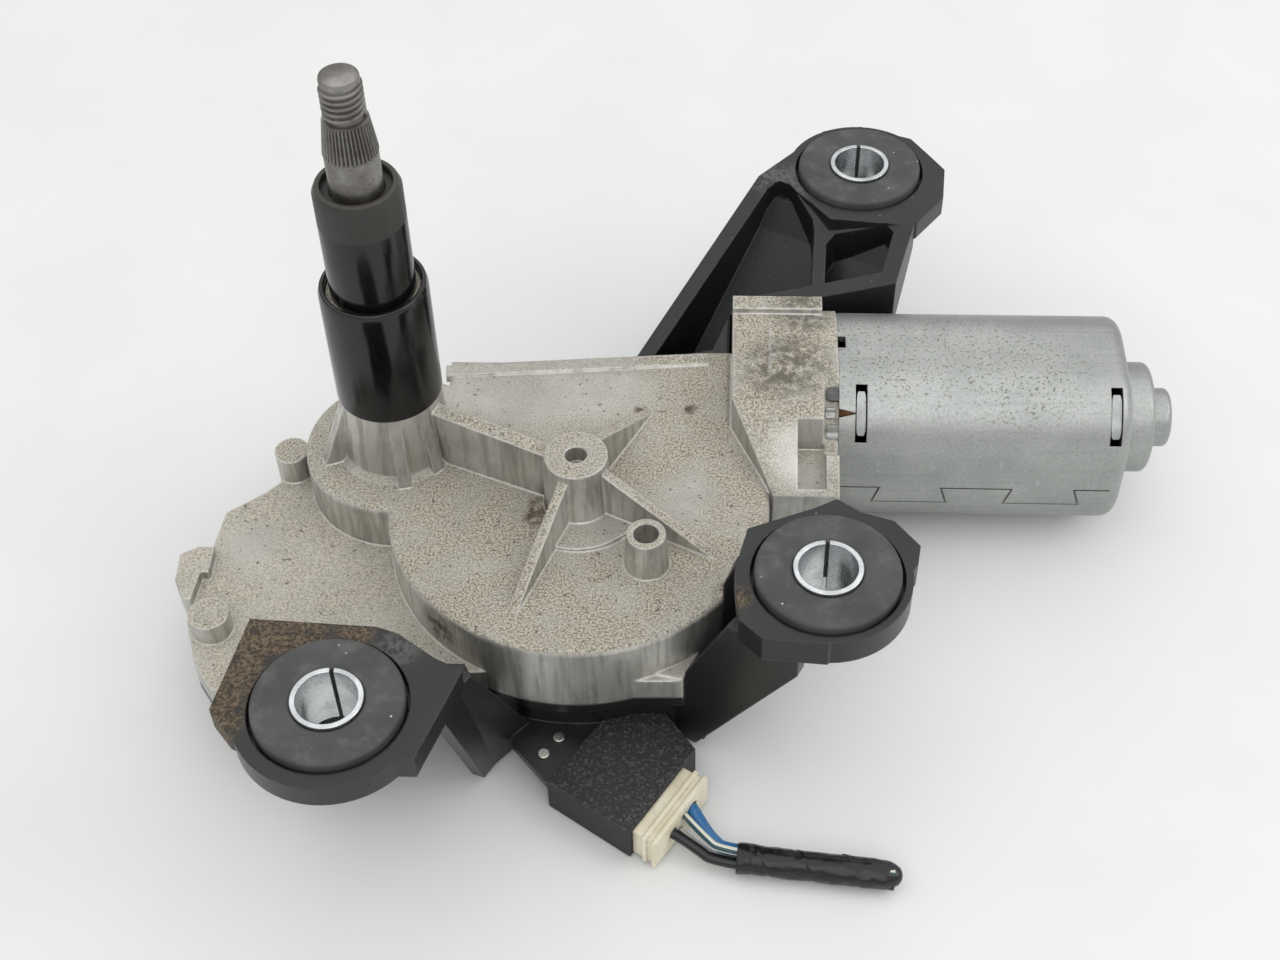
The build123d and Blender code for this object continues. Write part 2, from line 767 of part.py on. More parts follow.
with BuildPart() as front_arms:
    for level, wall in ((tub_floor_z, left_wall_foot), (ear_foot_z["left"] + 1, left_wall_top)):
        with BuildSketch(Plane.XY.offset(level)):
            with BuildLine():
                Polyline(*wall, close=True)
            make_face()
    loft(ruled=True)
    with BuildSketch(wall_plane(left_far_from, left_far_to)):
        with BuildLine():
            Polyline(
                (0, ear_foot_z["left"] + 1),
                (0, ear_foot_z["left"]),
                (14.5, tub_floor_z),
                (left_far_length, tub_floor_z),
                (left_far_length, rim_z),
                (left_far_length - 4, rim_z),
                (7.5, ear_foot_z["left"] + 4),
                (7.5, ear_foot_z["left"] + 1),
                close=True,
            )
        make_face()
    extrude(amount=arm_wall / 2, both=True)
    # Sloping web between the left arm's two walls, set back where the ear is
    for start_x, width, setback in left_webs:
        with BuildSketch(Plane.YZ.offset(start_x)):
            with BuildLine():
                Polyline(
                    (-62.6 + setback, ear_foot_z["left"] + 1),
                    (-59.8 + setback, ear_foot_z["left"] + 1),
                    (-53.0, rim_z),
                    (-50.0, rim_z - 4),
                    (-50.0, tub_floor_z + 6),
                    (-55.4, rim_z - 2),
                    close=True,
                )
            make_face()
        extrude(amount=width)
    with BuildSketch(wall_plane(right_wall_from, right_wall_to)):
        with BuildLine():
            Polyline(
                (0, tub_floor_z),
                (7.0, tub_floor_z),
                (right_wall_length, ear_foot_z["right"] - 4.6),
                (right_wall_length, ear_foot_z["right"] + 1),
                (13.5, ear_foot_z["right"] + 1),
                (3.0, rim_z + 5),
                (0, rim_z),
                close=True,
            )
        make_face()
    extrude(amount=arm_wall / 2, both=True)
    with BuildSketch(wall_plane(right_back_from, right_back_to)):
        with BuildLine():
            Polyline(
                (-8, rim_z - 1),
                (-8, tub_floor_z),
                (-2, tub_floor_z),
                (right_back_length, ear_foot_z["right"] - 2),
                (right_back_length, ear_foot_z["right"] + 1),
                (2, ear_foot_z["right"] + 1),
                close=True,
            )
        make_face()
    extrude(amount=arm_wall / 2, both=True)
    # Web between the two walls of the right arm
    with BuildSketch(wall_plane(right_wall_from, right_wall_to)):
        with BuildLine():
            Polyline(
                (4.0, tub_floor_z),
                (8.0, tub_floor_z),
                (right_wall_length - 5.5, ear_foot_z["right"] - 2),
                (right_wall_length - 5.5, ear_foot_z["right"] + 1),
                (right_wall_length - 9.5, ear_foot_z["right"] + 1),
                close=True,
            )
        make_face()
    extrude(amount=-20)

with BuildPart() as cover_bracket:
    # Flange under the casting's rim, the tub and its foot ribs
    with BuildSketch(Plane.XY.offset(rim_z)):
        add(skirt_shape(0))
        with Locations((cover_front_x, 0)):
            Rectangle(60, 160, align=(Align.MIN, Align.CENTER), mode=Mode.SUBTRACT)
    extrude(amount=-cover_flange)
    with BuildSketch(Plane.XY.offset(rim_z)):
        add(skirt_shape(cover_step))
        with Locations((cover_front_x, 0)):
            Rectangle(60, 160, align=(Align.MIN, Align.CENTER), mode=Mode.SUBTRACT)
    extrude(amount=tub_floor_z - rim_z)
    with BuildSketch(Plane.XY.offset(tub_floor_z)):
        add(skirt_shape(foot_rib_inset))
        with Locations((cover_front_x - foot_rib_width, 0)):
            Rectangle(60, 160, align=(Align.MIN, Align.CENTER), mode=Mode.SUBTRACT)
        # The block drawn in this far lies past the end of the rib, so it is left out.
        add(skirt_shape(foot_rib_inset + foot_rib_width, with_block=False), mode=Mode.SUBTRACT)
    extrude(amount=stand_z - tub_floor_z)
    # Foot of the rear arm beside the tub
    with BuildSketch(Plane.XY.offset(tub_floor_z)):
        with Locations((46.0, rear_wall_y - 4)):
            Rectangle(cover_front_x - 46.0, 16.0, align=(Align.MIN, Align.MIN))
    extrude(amount=6.0)
    add(rear_arm.part)
    add(front_arms.part)
    add(rear_hollow.part, mode=Mode.SUBTRACT)
    # Ears
    for side, centre in ears.items():
        with BuildSketch(Plane.XY.offset(ear_top_z - ear_plate_thickness[side])):
            with BuildLine():
                Polyline(*ear_plates[side], close=True)
            make_face()
        extrude(amount=ear_plate_thickness[side])
        with BuildSketch(Plane.XY.offset(ear_foot_z[side])):
            with Locations(centre):
                Circle(ear_rings[side])
        extrude(amount=ear_thickness[side])
    add(rear_hollow.part, mode=Mode.SUBTRACT)
    # Flat tab for the connector, with its two contact rivets
    with BuildSketch(Plane.XY.offset(tab_top_z)):
        with BuildLine():
            Polyline(*tab_outline, close=True)
        make_face()
    extrude(amount=-tab_thickness)
    # Room for the casting above the rim, and for its barrel
    with BuildSketch(Plane.XY.offset(rim_z)):
        add(skirt_shape(-arm_clearance))
    extrude(amount=40, mode=Mode.SUBTRACT)
    # Inside of the tub
    with BuildSketch(Plane.XY.offset(rim_z)):
        add(skirt_shape(cover_step + cover_wall))
        with Locations((cover_front_x - cover_wall, 0)):
            Rectangle(60, 160, align=(Align.MIN, Align.CENTER), mode=Mode.SUBTRACT)
    extrude(amount=tub_floor_z + tub_floor_thickness - rim_z, mode=Mode.SUBTRACT)
    # Screw columns with their counterbores
    for place, top_z, post_r in screws:
        with BuildSketch(Plane.XY.offset(rim_z)):
            with Locations(place):
                Circle(screw_head_r + 1.6)
        extrude(amount=tub_floor_z - rim_z)
    for place, top_z, post_r in screws:
        with BuildSketch(Plane.XY.offset(rim_z)):
            with Locations(place):
                Circle(screw_r + 0.2)
        extrude(amount=-20, mode=Mode.SUBTRACT)
        with BuildSketch(Plane.XY.offset(screw_seat_z)):
            with Locations(place):
                Circle(screw_head_r + 0.3)
        extrude(amount=-20, mode=Mode.SUBTRACT)
    # Recess and hole for each rubber grommet
    for side, centre in ears.items():
        with BuildSketch(Plane.XY.offset(ear_top_z)):
            with Locations(centre):
                Circle(grommet_r + grommet_gap)
        extrude(amount=-ear_recess, mode=Mode.SUBTRACT)
        with BuildSketch(Plane.XY.offset(ear_top_z)):
            with Locations(centre):
                Circle(grommet_neck_r)
        extrude(amount=-ear_thickness[side], mode=Mode.SUBTRACT)
        with BuildSketch(Plane.XY.offset(ear_foot_z[side])):
            with Locations(centre):
                Circle(lower_flange_r + 0.4)
        extrude(amount=-sleeve_length - 1 - ear_foot_z[side], mode=Mode.SUBTRACT)
save(cover_bracket, "cover_bracket")

# Rubber grommets and split steel sleeves of the three ears
sleeve_split_turn = {"left": 90.0, "right": 90.0, "rear": 90.0}
for side, centre in ears.items():
    with BuildPart() as grommet:
        with BuildSketch(Plane.XY.offset(ear_top_z - ear_recess)):
            with Locations(centre):
                Circle(grommet_r)
        extrude(amount=grommet_top_z - ear_top_z + ear_recess)
        fillet(edges().group_by(Axis.Z)[-1], radius=0.8)
        with BuildSketch(Plane.XY.offset(ear_foot_z[side])):
            with Locations(centre):
                Circle(grommet_neck_r)
        extrude(amount=ear_thickness[side] - ear_recess)
        with BuildSketch(Plane.XY.offset(ear_foot_z[side])):
            with Locations(centre):
                Circle(lower_flange_r)
        extrude(amount=-lower_flange_height, taper=8)
        with BuildSketch(Plane.XY):
            with Locations(centre):
                Circle(sleeve_r)
        extrude(amount=-40, mode=Mode.SUBTRACT)
    save(grommet, f"grommet_{side}")

    with BuildPart() as sleeve:
        with BuildSketch(Plane.XY):
            with Locations(centre):
                Circle(sleeve_r)
                Circle(sleeve_bore_r, mode=Mode.SUBTRACT)
            with Locations(polar((sleeve_r + sleeve_bore_r) / 2, sleeve_split_turn[side], centre)):
                Rectangle(sleeve_slit, 3, mode=Mode.SUBTRACT)
        extrude(amount=-sleeve_length)
    save(sleeve, f"sleeve_{side}")

# Screws that hold the moulding to the casting
screw_tip_gap = 1.0
screw_drive_r = 1.4
with BuildPart() as cover_screws:
    for place, top_z, post_r in screws:
        with BuildSketch(Plane.XY.offset(screw_seat_z)):
            with Locations(place):
                Circle(screw_head_r)
        extrude(amount=-screw_head_height)
        with BuildSketch(Plane.XY.offset(screw_seat_z)):
            with Locations(place):
                Circle(screw_r)
        extrude(amount=top_z - screw_cover - screw_tip_gap - screw_seat_z)
        with BuildSketch(Plane.XY.offset(screw_seat_z - screw_head_height)):
            with Locations(place):
                RegularPolygon(screw_drive_r, 6)
        extrude(amount=1.2, mode=Mode.SUBTRACT)
save(cover_screws, "cover_screws")

# Two black collars over the tower
with BuildPart() as lower_collar:
    with BuildSketch(Plane.XZ):
        with BuildLine():
            Polyline(
                (tower_lower_r + fit_gap, lower_collar_foot_z),
                (lower_collar_r, lower_collar_foot_z),
                (lower_collar_r, lower_collar_top_z - 1.4),
                (lower_collar_mouth_r, lower_collar_top_z),
                (lower_collar_mouth_r - 0.9, lower_collar_top_z),
                (tower_lower_r + fit_gap, lower_collar_top_z - 0.9),
                close=True,
            )
        make_face()
    revolve(axis=Axis.Z)
save(lower_collar, "lower_collar")

with BuildPart() as upper_collar:
    with BuildSketch(Plane.XZ):
        with BuildLine():
            Polyline(
                (tower_upper_r + fit_gap, tower_shoulder_z),
                (upper_collar_r, tower_shoulder_z),
                (upper_collar_r, upper_collar_top_z - 1.6),
                (upper_collar_r - 0.7, upper_collar_top_z),
                (collar_lip_r, upper_collar_top_z),
                (collar_lip_r, tower_top_z + seal_height),
                (tower_upper_r + fit_gap, tower_top_z + seal_height),
                close=True,
            )
        make_face()
    revolve(axis=Axis.Z)
save(upper_collar, "upper_collar")

# Output spindle with its groove, foot, knurled cone and threaded end
clip_thickness = 0.8
clip_groove_r = 3.2
clip_r = 6.0
clip_top_z = link_foot_z - fit_gap
thread_foot_z = spindle_tip_z - pilot_length - thread_length
cone_foot_z = thread_foot_z - cone_length
with BuildPart() as output_spindle:
    with BuildSketch(Plane.XZ):
        with BuildLine():
            Polyline(
                (0, spindle_foot_z),
                (spindle_foot_r, spindle_foot_z),
                (spindle_foot_r, clip_top_z - clip_thickness),
                (clip_groove_r, clip_top_z - clip_thickness),
                (clip_groove_r, clip_top_z),
                (spindle_foot_r, clip_top_z),
                (spindle_foot_r, pinion_top_z),
                (shaft_r, pinion_top_z),
                (shaft_r, cone_foot_z - 0.6),
                (cone_foot_r, cone_foot_z),
                (cone_top_r, thread_foot_z),
                (thread_r - 0.5, thread_foot_z + 0.3),
                (thread_r, thread_foot_z + 0.8),
                (thread_r, thread_foot_z + thread_length - 0.4),
                (pilot_r, thread_foot_z + thread_length),
                (pilot_r, spindle_tip_z - 0.5),
                (pilot_r - 0.5, spindle_tip_z),
                (0, spindle_tip_z),
                close=True,
            )
        make_face()
    revolve(axis=Axis.Z)
save(output_spindle, "output_spindle")

with BuildPart() as spindle_clip:
    with BuildSketch(Plane.XY.offset(clip_top_z - clip_thickness)):
        Circle(clip_r)
        Circle(clip_groove_r, mode=Mode.SUBTRACT)
        Rectangle(20, 1.8 * clip_groove_r, align=(Align.MIN, Align.CENTER), mode=Mode.SUBTRACT)
    extrude(amount=clip_thickness)
save(spindle_clip, "spindle_clip")

for bush_name, bush_foot_z, bush_length in (
    ("spindle_bush_upper", tower_top_z - upper_bush_length, upper_bush_length),
    ("spindle_bush_lower", hub_foot_z, lower_bush_length),
):
    with BuildPart() as spindle_bush:
        with BuildSketch(Plane.XY.offset(bush_foot_z)):
            Circle(tower_bore_r)
            Circle(shaft_r + running_fit, mode=Mode.SUBTRACT)
        extrude(amount=bush_length)
    save(spindle_bush, bush_name)

with BuildPart() as spindle_seal:
    with BuildSketch(Plane.XY.offset(tower_top_z)):
        Circle(tower_upper_r)
        Circle(shaft_r + running_fit, mode=Mode.SUBTRACT)
    extrude(amount=seal_height)
save(spindle_seal, "spindle_seal")

with BuildPart() as spindle_washer:
    with BuildSketch(Plane.XY.offset(pinion_top_z + fit_gap / 2)):
        Circle(tower_bore_r + casting_wall - 0.4)
        Circle(shaft_r + running_fit, mode=Mode.SUBTRACT)
    extrude(amount=washer_thickness)
save(spindle_washer, "spindle_washer")

# Teeth of the spindle's pinion and of the connecting rod's sector
pressure_angle = math.radians(20)
addendum = 0.8 * gear_module
dedendum = 1.0 * gear_module


def involute(angle):
    """Involute function of a pressure angle in radians."""
    return math.tan(angle) - angle


def flank_turn(teeth, radius):
    """Half of a tooth's angle in degrees at a radius, less its share of the backlash."""
    pitch_r = gear_module * teeth / 2
    base_r = pitch_r * math.cos(pressure_angle)
    local = math.acos(min(1, base_r / max(radius, base_r)))
    half = (math.pi * gear_module / 2 - gear_backlash / 2) / (2 * pitch_r)
    return math.degrees(half + involute(pressure_angle) - involute(local))


def tooth_lines(teeth, middle, centre):
    """Flanks and tip of one tooth round a centre; gives the root's two ends."""
    pitch_r = gear_module * teeth / 2
    root_r = pitch_r - dedendum
    tip_r = pitch_r + addendum
    start_r = max(root_r, pitch_r * math.cos(pressure_angle))
    mid_r = (start_r + tip_r) / 2
    points = []
    for sign in (-1, 1):
        flank = [polar(r, middle + sign * flank_turn(teeth, r), centre) for r in (start_r, mid_r, tip_r)]
        foot = polar(root_r, middle + sign * flank_turn(teeth, start_r), centre)
        if start_r > root_r:
            Line(foot, flank[0])
        ThreePointArc(*flank)
        points.append((foot, flank[2]))
    Line(points[0][1], points[1][1])
    return points[0][0], points[1][0]


with BuildPart() as spindle_pinion:
    with BuildSketch(Plane.XY.offset(pinion_foot_z)):
        with BuildLine():
            feet = [
                tooth_lines(pinion_teeth, link_angle + (k + 0.5) * 360 / pinion_teeth, (0, 0))
                for k in range(pinion_teeth)
            ]
            for k in range(pinion_teeth):
                Line(feet[k - 1][1], feet[k][0])
        make_face()
        Circle(spindle_foot_r, mode=Mode.SUBTRACT)
    extrude(amount=pinion_top_z - pinion_foot_z)
save(spindle_pinion, "spindle_pinion")

# Connecting rod: eye on the crank pin, eye on the link's pin, and the toothed sector
sector_first = -2
sector_last = 5
sector_eye_r = 6.3
crank_eye_r = 6.6
rod_half_width = 4.6
sector_line = link_angle + 180
sector_pitch = 360 / sector_teeth
with BuildPart() as sector_rod:
    with BuildSketch(Plane.XY.offset(pinion_foot_z)):
        with BuildLine():
            feet = [
                tooth_lines(sector_teeth, sector_line + k * sector_pitch, sector_point)
                for k in range(sector_first, sector_last + 1)
            ]
            for k in range(1, len(feet)):
                Line(feet[k - 1][1], feet[k][0])
            Line(sector_point, feet[0][0])
            Line(feet[-1][1], sector_point)
        make_face()
        with Locations(sector_point):
            Circle(sector_eye_r)
        with Locations(crank_point):
            Circle(crank_eye_r)
        with Locations(Location((sector_point[0], sector_point[1], 0), (0, 0, rod_angle))):
            Rectangle(rod_length, 2 * rod_half_width, align=(Align.MIN, Align.CENTER))
        with Locations(sector_point):
            Circle(sector_pin_r + running_fit, mode=Mode.SUBTRACT)
        with Locations(crank_point):
            Circle(crank_pin_r + running_fit, mode=Mode.SUBTRACT)
    extrude(amount=rod_thickness)
save(sector_rod, "sector_rod")

# Link plate between the spindle and the sector's pin
link_eye_r = 7.0
with BuildPart() as link_plate:
    with BuildSketch(Plane.XY.offset(link_foot_z)):
        Circle(link_eye_r)
        with Locations(sector_point):
            Circle(link_eye_r - 0.8)
        with Locations(Location((0, 0, 0), (0, 0, link_angle))):
            Rectangle(link_length, 10.4, align=(Align.MIN, Align.CENTER))
        Circle(spindle_foot_r + running_fit, mode=Mode.SUBTRACT)
        with Locations(sector_point):
            Circle(sector_pin_r, mode=Mode.SUBTRACT)
    extrude(amount=link_thickness)
save(link_plate, "link_plate")

with BuildPart() as sector_pin:
    with BuildSketch(Plane.XY.offset(link_foot_z)):
        with Locations(sector_point):
            Circle(sector_pin_r)
    extrude(amount=rod_top_z + link_gap - link_foot_z)
    with BuildSketch(Plane.XY.offset(rod_top_z + link_gap)):
        with Locations(sector_point):
            Circle(sector_pin_r + 1.5)
    extrude(amount=1.0)
save(sector_pin, "sector_pin")

# Worm wheel: slanted teeth, a hub that holds the crank pin, and six spokes in a recess
wheel_tip_r = wheel_pitch_r + 1.0
wheel_root_r = wheel_pitch_r - 1.35
worm_pitch = math.pi * worm_module
lead_turn = math.degrees(worm_pitch / (2 * math.pi * worm_pitch_r) * wheel_width / wheel_pitch_r)
flank_slope = math.tan(math.radians(worm_flank))
worm_pitch_thickness = worm_pitch / 2 - worm_backlash / 2
wheel_space = 360 / wheel_teeth
hub_r = crank_radius + crank_pin_r + 2.2
rim_inner_r = 26.5
recess_depth = 3.2
spokes = 6
axle_clip_r = 4.6
axle_groove_r = 2.3
axle_recess = 1.6
axle_foot_z = wheel_foot_z + 0.1


def wheel_tooth_half(radius):
    """Half of the wheel's tooth thickness at a radius."""
    return worm_pitch_thickness / 2 - (radius - wheel_pitch_r) * flank_slope


def wheel_outline(turn):
    """Outline of the toothed rim, turned about the wheel's axis."""
    points = []
    for k in range(wheel_teeth):
        middle = 90 + turn + (k + 0.5) * wheel_space
        for radius, sign in ((wheel_root_r, -1), (wheel_tip_r, -1), (wheel_tip_r, 1), (wheel_root_r, 1)):
            half = math.degrees(wheel_tooth_half(radius) / radius)
            points.append(polar(radius, middle + sign * half, wheel_centre))
    return points


with BuildPart() as worm_wheel:
    for level, turn in ((wheel_foot_z, -lead_turn / 2), (wheel_top_z, lead_turn / 2)):
        with BuildSketch(Plane.XY.offset(level)):
            with BuildLine():
                Polyline(*wheel_outline(turn), close=True)
            make_face()
    loft(ruled=True)
    with BuildSketch(Plane.XY.offset(wheel_top_z)):
        with Locations(wheel_centre):
            Circle(rim_inner_r)
            Circle(hub_r, mode=Mode.SUBTRACT)
        with Locations(wheel_centre):
            with PolarLocations((rim_inner_r + hub_r) / 2, spokes):
                Rectangle(rim_inner_r - hub_r + 4, 2.4, mode=Mode.SUBTRACT)
    extrude(amount=-recess_depth, mode=Mode.SUBTRACT)
    with BuildSketch(Plane.XY.offset(wheel_foot_z)):
        with Locations(wheel_centre):
            Circle(axle_r + running_fit)
    extrude(amount=wheel_width, mode=Mode.SUBTRACT)
    with BuildSketch(Plane.XY.offset(wheel_foot_z)):
        with Locations(wheel_centre):
            Circle(axle_clip_r + 0.2)
    extrude(amount=axle_recess, mode=Mode.SUBTRACT)
    with BuildSketch(Plane.XY.offset(wheel_foot_z)):
        with Locations(crank_point):
            Circle(crank_pin_r)
    extrude(amount=wheel_width - 2, mode=Mode.SUBTRACT)
save(worm_wheel, "worm_wheel")

open_pivot_gap = 0.3
with BuildPart() as crank_pin:
    with BuildSketch(Plane.XY.offset(rod_top_z + open_pivot_gap)):
        with Locations(crank_point):
            Circle(crank_pin_r)
    extrude(amount=wheel_top_z - 2 - rod_top_z - open_pivot_gap)
save(crank_pin, "crank_pin")

park_inner_r = 15.0
park_outer_r = 26.0
park_thickness = 0.6
park_gap_angle = 40.0
with BuildPart() as park_ring:
    with BuildSketch(Plane.XY.offset(wheel_foot_z)):
        with Locations(wheel_centre):
            Circle(park_outer_r)
            Circle(park_inner_r, mode=Mode.SUBTRACT)
        with BuildLine():
            Polyline(
                polar(park_inner_r + 4, 90, wheel_centre),
                polar(40, 90 - park_gap_angle / 2, wheel_centre),
                polar(40, 90 + park_gap_angle / 2, wheel_centre),
                close=True,
            )
        make_face(mode=Mode.SUBTRACT)
    extrude(amount=-park_thickness)
save(park_ring, "park_ring")

axle_top_z = boss_top_z - boss_hole_depth - 2.0
axle_clip_foot_z = wheel_foot_z + axle_recess - fit_gap - clip_thickness
with BuildPart() as wheel_axle:
    with BuildSketch(Plane.XY.offset(axle_foot_z)):
        with Locations(wheel_centre):
            Circle(axle_r)
    extrude(amount=axle_top_z - axle_foot_z)
    with BuildSketch(Plane.XY.offset(axle_clip_foot_z)):
        with Locations(wheel_centre):
            Circle(axle_r + 1)
            Circle(axle_groove_r, mode=Mode.SUBTRACT)
    extrude(amount=clip_thickness, mode=Mode.SUBTRACT)
save(wheel_axle, "wheel_axle")

with BuildPart() as axle_clip:
    with BuildSketch(Plane.XY.offset(axle_clip_foot_z)):
        with Locations(wheel_centre):
            Circle(axle_clip_r)
            Circle(axle_groove_r, mode=Mode.SUBTRACT)
            Rectangle(20, 1.8 * axle_groove_r, align=(Align.MIN, Align.CENTER), mode=Mode.SUBTRACT)
    extrude(amount=clip_thickness)
save(axle_clip, "axle_clip")

with BuildPart() as wheel_washer:
    with BuildSketch(Plane.XY.offset(wheel_top_z + running_fit)):
        with Locations(wheel_centre):
            Circle(axle_r + 2.6)
            Circle(axle_r + running_fit, mode=Mode.SUBTRACT)
    extrude(amount=wheel_hub_gap - 2 * running_fit)
save(wheel_washer, "wheel_washer")

# Plate on the tub's floor with the three sprung contacts that run on the wheel's ring
tub_inside_z = tub_floor_z + tub_floor_thickness
contact_plate_z = tub_inside_z + 2.6
finger_width = 2.0
finger_thickness = 0.4
finger_tip_x = 43.0
finger_rows = [-33.0, -36.8, -40.6]
contact_plate_x = 42.0
contact_plate_length = 13.0
ring_foot_z = wheel_foot_z - park_thickness
with BuildPart() as contact_plate:
    with BuildSketch(Plane.XY.offset(tub_inside_z)):
        with Locations((contact_plate_x, finger_rows[0] + 2.2)):
            Rectangle(contact_plate_length, 13.0, align=(Align.MIN, Align.MAX))
    extrude(amount=contact_plate_z - tub_inside_z)
save(contact_plate, "contact_plate")

with BuildPart() as contact_fingers:
    for row in finger_rows:
        with BuildSketch(Plane.XZ.offset(-row)):
            with BuildLine():
                Polyline(
                    (contact_plate_x + contact_plate_length - 1, contact_plate_z),
                    (contact_plate_x + contact_plate_length - 1, contact_plate_z + finger_thickness),
                    (contact_plate_x + 9.2, contact_plate_z + finger_thickness),
                    (finger_tip_x + 1, ring_foot_z - running_fit),
                    (finger_tip_x, ring_foot_z - running_fit),
                    (finger_tip_x - 1, ring_foot_z - 1.2),
                    (finger_tip_x - 0.6, ring_foot_z - 1.4),
                    (finger_tip_x + 0.7, ring_foot_z - 0.6),
                    (contact_plate_x + 9.0, contact_plate_z),
                    close=True,
                )
            make_face()
        extrude(amount=finger_width / 2, both=True)
save(contact_fingers, "contact_fingers")

# Armature shaft, turned, with the single-start worm
motor_plane = Plane(origin=(0, motor_y, motor_z), x_dir=(1, 0, 0), z_dir=(0, -1, 0))
motor_axis = Axis((0, motor_y, motor_z), (1, 0, 0))
can_end_x = can_start_x + can_length
boss_end_x = can_end_x + end_boss_length
nub_end_x = boss_end_x + nub_length
shaft_start_x = tail_bush_x + 1.0
thrust_pad_length = 0.8
shaft_end_x = nub_end_x - can_wall - thrust_pad_length - fit_gap
helix_turns = 8
with BuildPart() as worm_thread:
    with BuildLine() as worm_helix:
        Helix(pitch=worm_pitch, height=helix_turns * worm_pitch, radius=worm_pitch_r)
    with BuildSketch(Plane.XZ):
        with BuildLine():
            thread_half = worm_pitch_thickness / 2
            Polyline(
                (worm_root_r - 0.4, thread_half + (worm_pitch_r - worm_root_r + 0.4) * flank_slope),
                (worm_tip_r, thread_half - (worm_tip_r - worm_pitch_r) * flank_slope),
                (worm_tip_r, -thread_half + (worm_tip_r - worm_pitch_r) * flank_slope),
                (worm_root_r - 0.4, -thread_half - (worm_pitch_r - worm_root_r + 0.4) * flank_slope),
                close=True,
            )
        make_face()
    sweep(path=worm_helix.wires()[0], is_frenet=True)
    with BuildSketch(Plane.XY.offset(helix_turns * worm_pitch / 2 - worm_length / 2)):
        Circle(worm_tip_r + 1)
    extrude(amount=worm_length, mode=Mode.INTERSECT)

worm_place = Plane(
    origin=(wheel_x - helix_turns * worm_pitch / 2, motor_y, motor_z),
    x_dir=(0, -1, 0),
    z_dir=(1, 0, 0),
)
with BuildPart() as armature_shaft:
    with BuildSketch(motor_plane):
        with BuildLine():
            Polyline(
                (shaft_start_x, 0),
                (shaft_start_x, motor_shaft_r - 0.5),
                (shaft_start_x + 0.5, motor_shaft_r),
                (wheel_x - worm_length / 2 - 1, motor_shaft_r),
                (wheel_x - worm_length / 2 - 1, worm_root_r),
                (wheel_x + worm_length / 2 + 1, worm_root_r),
                (wheel_x + worm_length / 2 + 1, motor_shaft_r),
                (shaft_end_x - 0.5, motor_shaft_r),
                (shaft_end_x, motor_shaft_r - 0.5),
                (shaft_end_x, 0),
                close=True,
            )
        make_face()
    revolve(axis=motor_axis)
    add(worm_thread.part.moved(worm_place.location))
save(armature_shaft, "armature_shaft")


def turned(node, start_x, length, outer_r, inner_r):
    """Plain ring about the motor's axis, written as a node."""
    with BuildPart() as ring:
        with BuildSketch(Plane.YZ.offset(start_x)):
            with Locations((motor_y, motor_z)):
                Circle(outer_r)
                Circle(inner_r, mode=Mode.SUBTRACT)
        extrude(amount=length)
    save(ring, node)


turned("tail_bush", tail_bush_x, tail_bush_length, tail_bush_r, motor_shaft_r + running_fit)
turned("front_bearing", front_bearing_x, chamber_x - front_bearing_x, bearing_r, motor_shaft_r + running_fit)
rear_bearing_length = 6.0
rear_bearing_x = boss_end_x - can_wall - rear_bearing_length
boss_inner_r = end_boss_r - can_wall
turned("rear_bearing", rear_bearing_x, rear_bearing_length, boss_inner_r, motor_shaft_r + running_fit)
retainer_length = 0.7
turned("bearing_retainer", rear_bearing_x - retainer_length, retainer_length, boss_inner_r, 6.4)

with BuildPart() as thrust_screw:
    with BuildSketch(Plane.YZ.offset(tail_x + 0.5)):
        with Locations((motor_y, motor_z)):
            Circle(thrust_screw_r)
    extrude(amount=tail_bush_x - tail_x - 0.5)
    with BuildSketch(Plane.YZ.offset(tail_x + 0.5)):
        with Locations((motor_y, motor_z)):
            RegularPolygon(1.8, 6)
    extrude(amount=2.0, mode=Mode.SUBTRACT)
    with BuildSketch(Plane.YZ.offset(tail_bush_x)):
        with Locations((motor_y, motor_z)):
            Circle(motor_shaft_r - 0.8)
    extrude(amount=shaft_start_x - fit_gap - tail_bush_x)
save(thrust_screw, "thrust_screw")

with BuildPart() as thrust_pad:
    with BuildSketch(Plane.YZ.offset(nub_end_x - can_wall - thrust_pad_length)):
        with Locations((motor_y, motor_z)):
            Circle(nub_r - can_wall)
    extrude(amount=thrust_pad_length)
save(thrust_pad, "thrust_pad")

# Armature: slotted core, windings through the slots, and commutator
core_x = can_start_x + core_front_room
core_length = can_length - core_front_room - core_rear_room
slot_foot_r = 6.0
slot_top_r = 10.7
slot_width = 2.6
slot_mouth = 1.2
end_turn_r = 10.8
end_turn_inner_r = 4.2
front_turns = 5.5
rear_turns = 5.0
with BuildPart() as armature_core:
    with BuildSketch(Plane.YZ.offset(core_x)):
        with Locations((motor_y, motor_z)):
            Circle(core_r)
            Circle(motor_shaft_r, mode=Mode.SUBTRACT)
            with PolarLocations((slot_foot_r + slot_top_r) / 2, core_slots):
                Rectangle(slot_top_r - slot_foot_r, slot_width, mode=Mode.SUBTRACT)
            with PolarLocations(core_r, core_slots):
                Rectangle(2 * (core_r - slot_top_r) + 0.2, slot_mouth, mode=Mode.SUBTRACT)
    extrude(amount=core_length)
save(armature_core, "armature_core")

with BuildPart() as armature_windings:
    with BuildSketch(Plane.YZ.offset(core_x)):
        with Locations((motor_y, motor_z)):
            with PolarLocations((slot_foot_r + slot_top_r) / 2, core_slots):
                Rectangle(slot_top_r - slot_foot_r, slot_width)
    extrude(amount=core_length)
    for start_x, length in ((core_x, -front_turns), (core_x + core_length, rear_turns)):
        with BuildSketch(Plane.YZ.offset(start_x)):
            with Locations((motor_y, motor_z)):
                Circle(end_turn_r)
                Circle(end_turn_inner_r, mode=Mode.SUBTRACT)
        extrude(amount=length, taper=12)
save(armature_windings, "armature_windings")

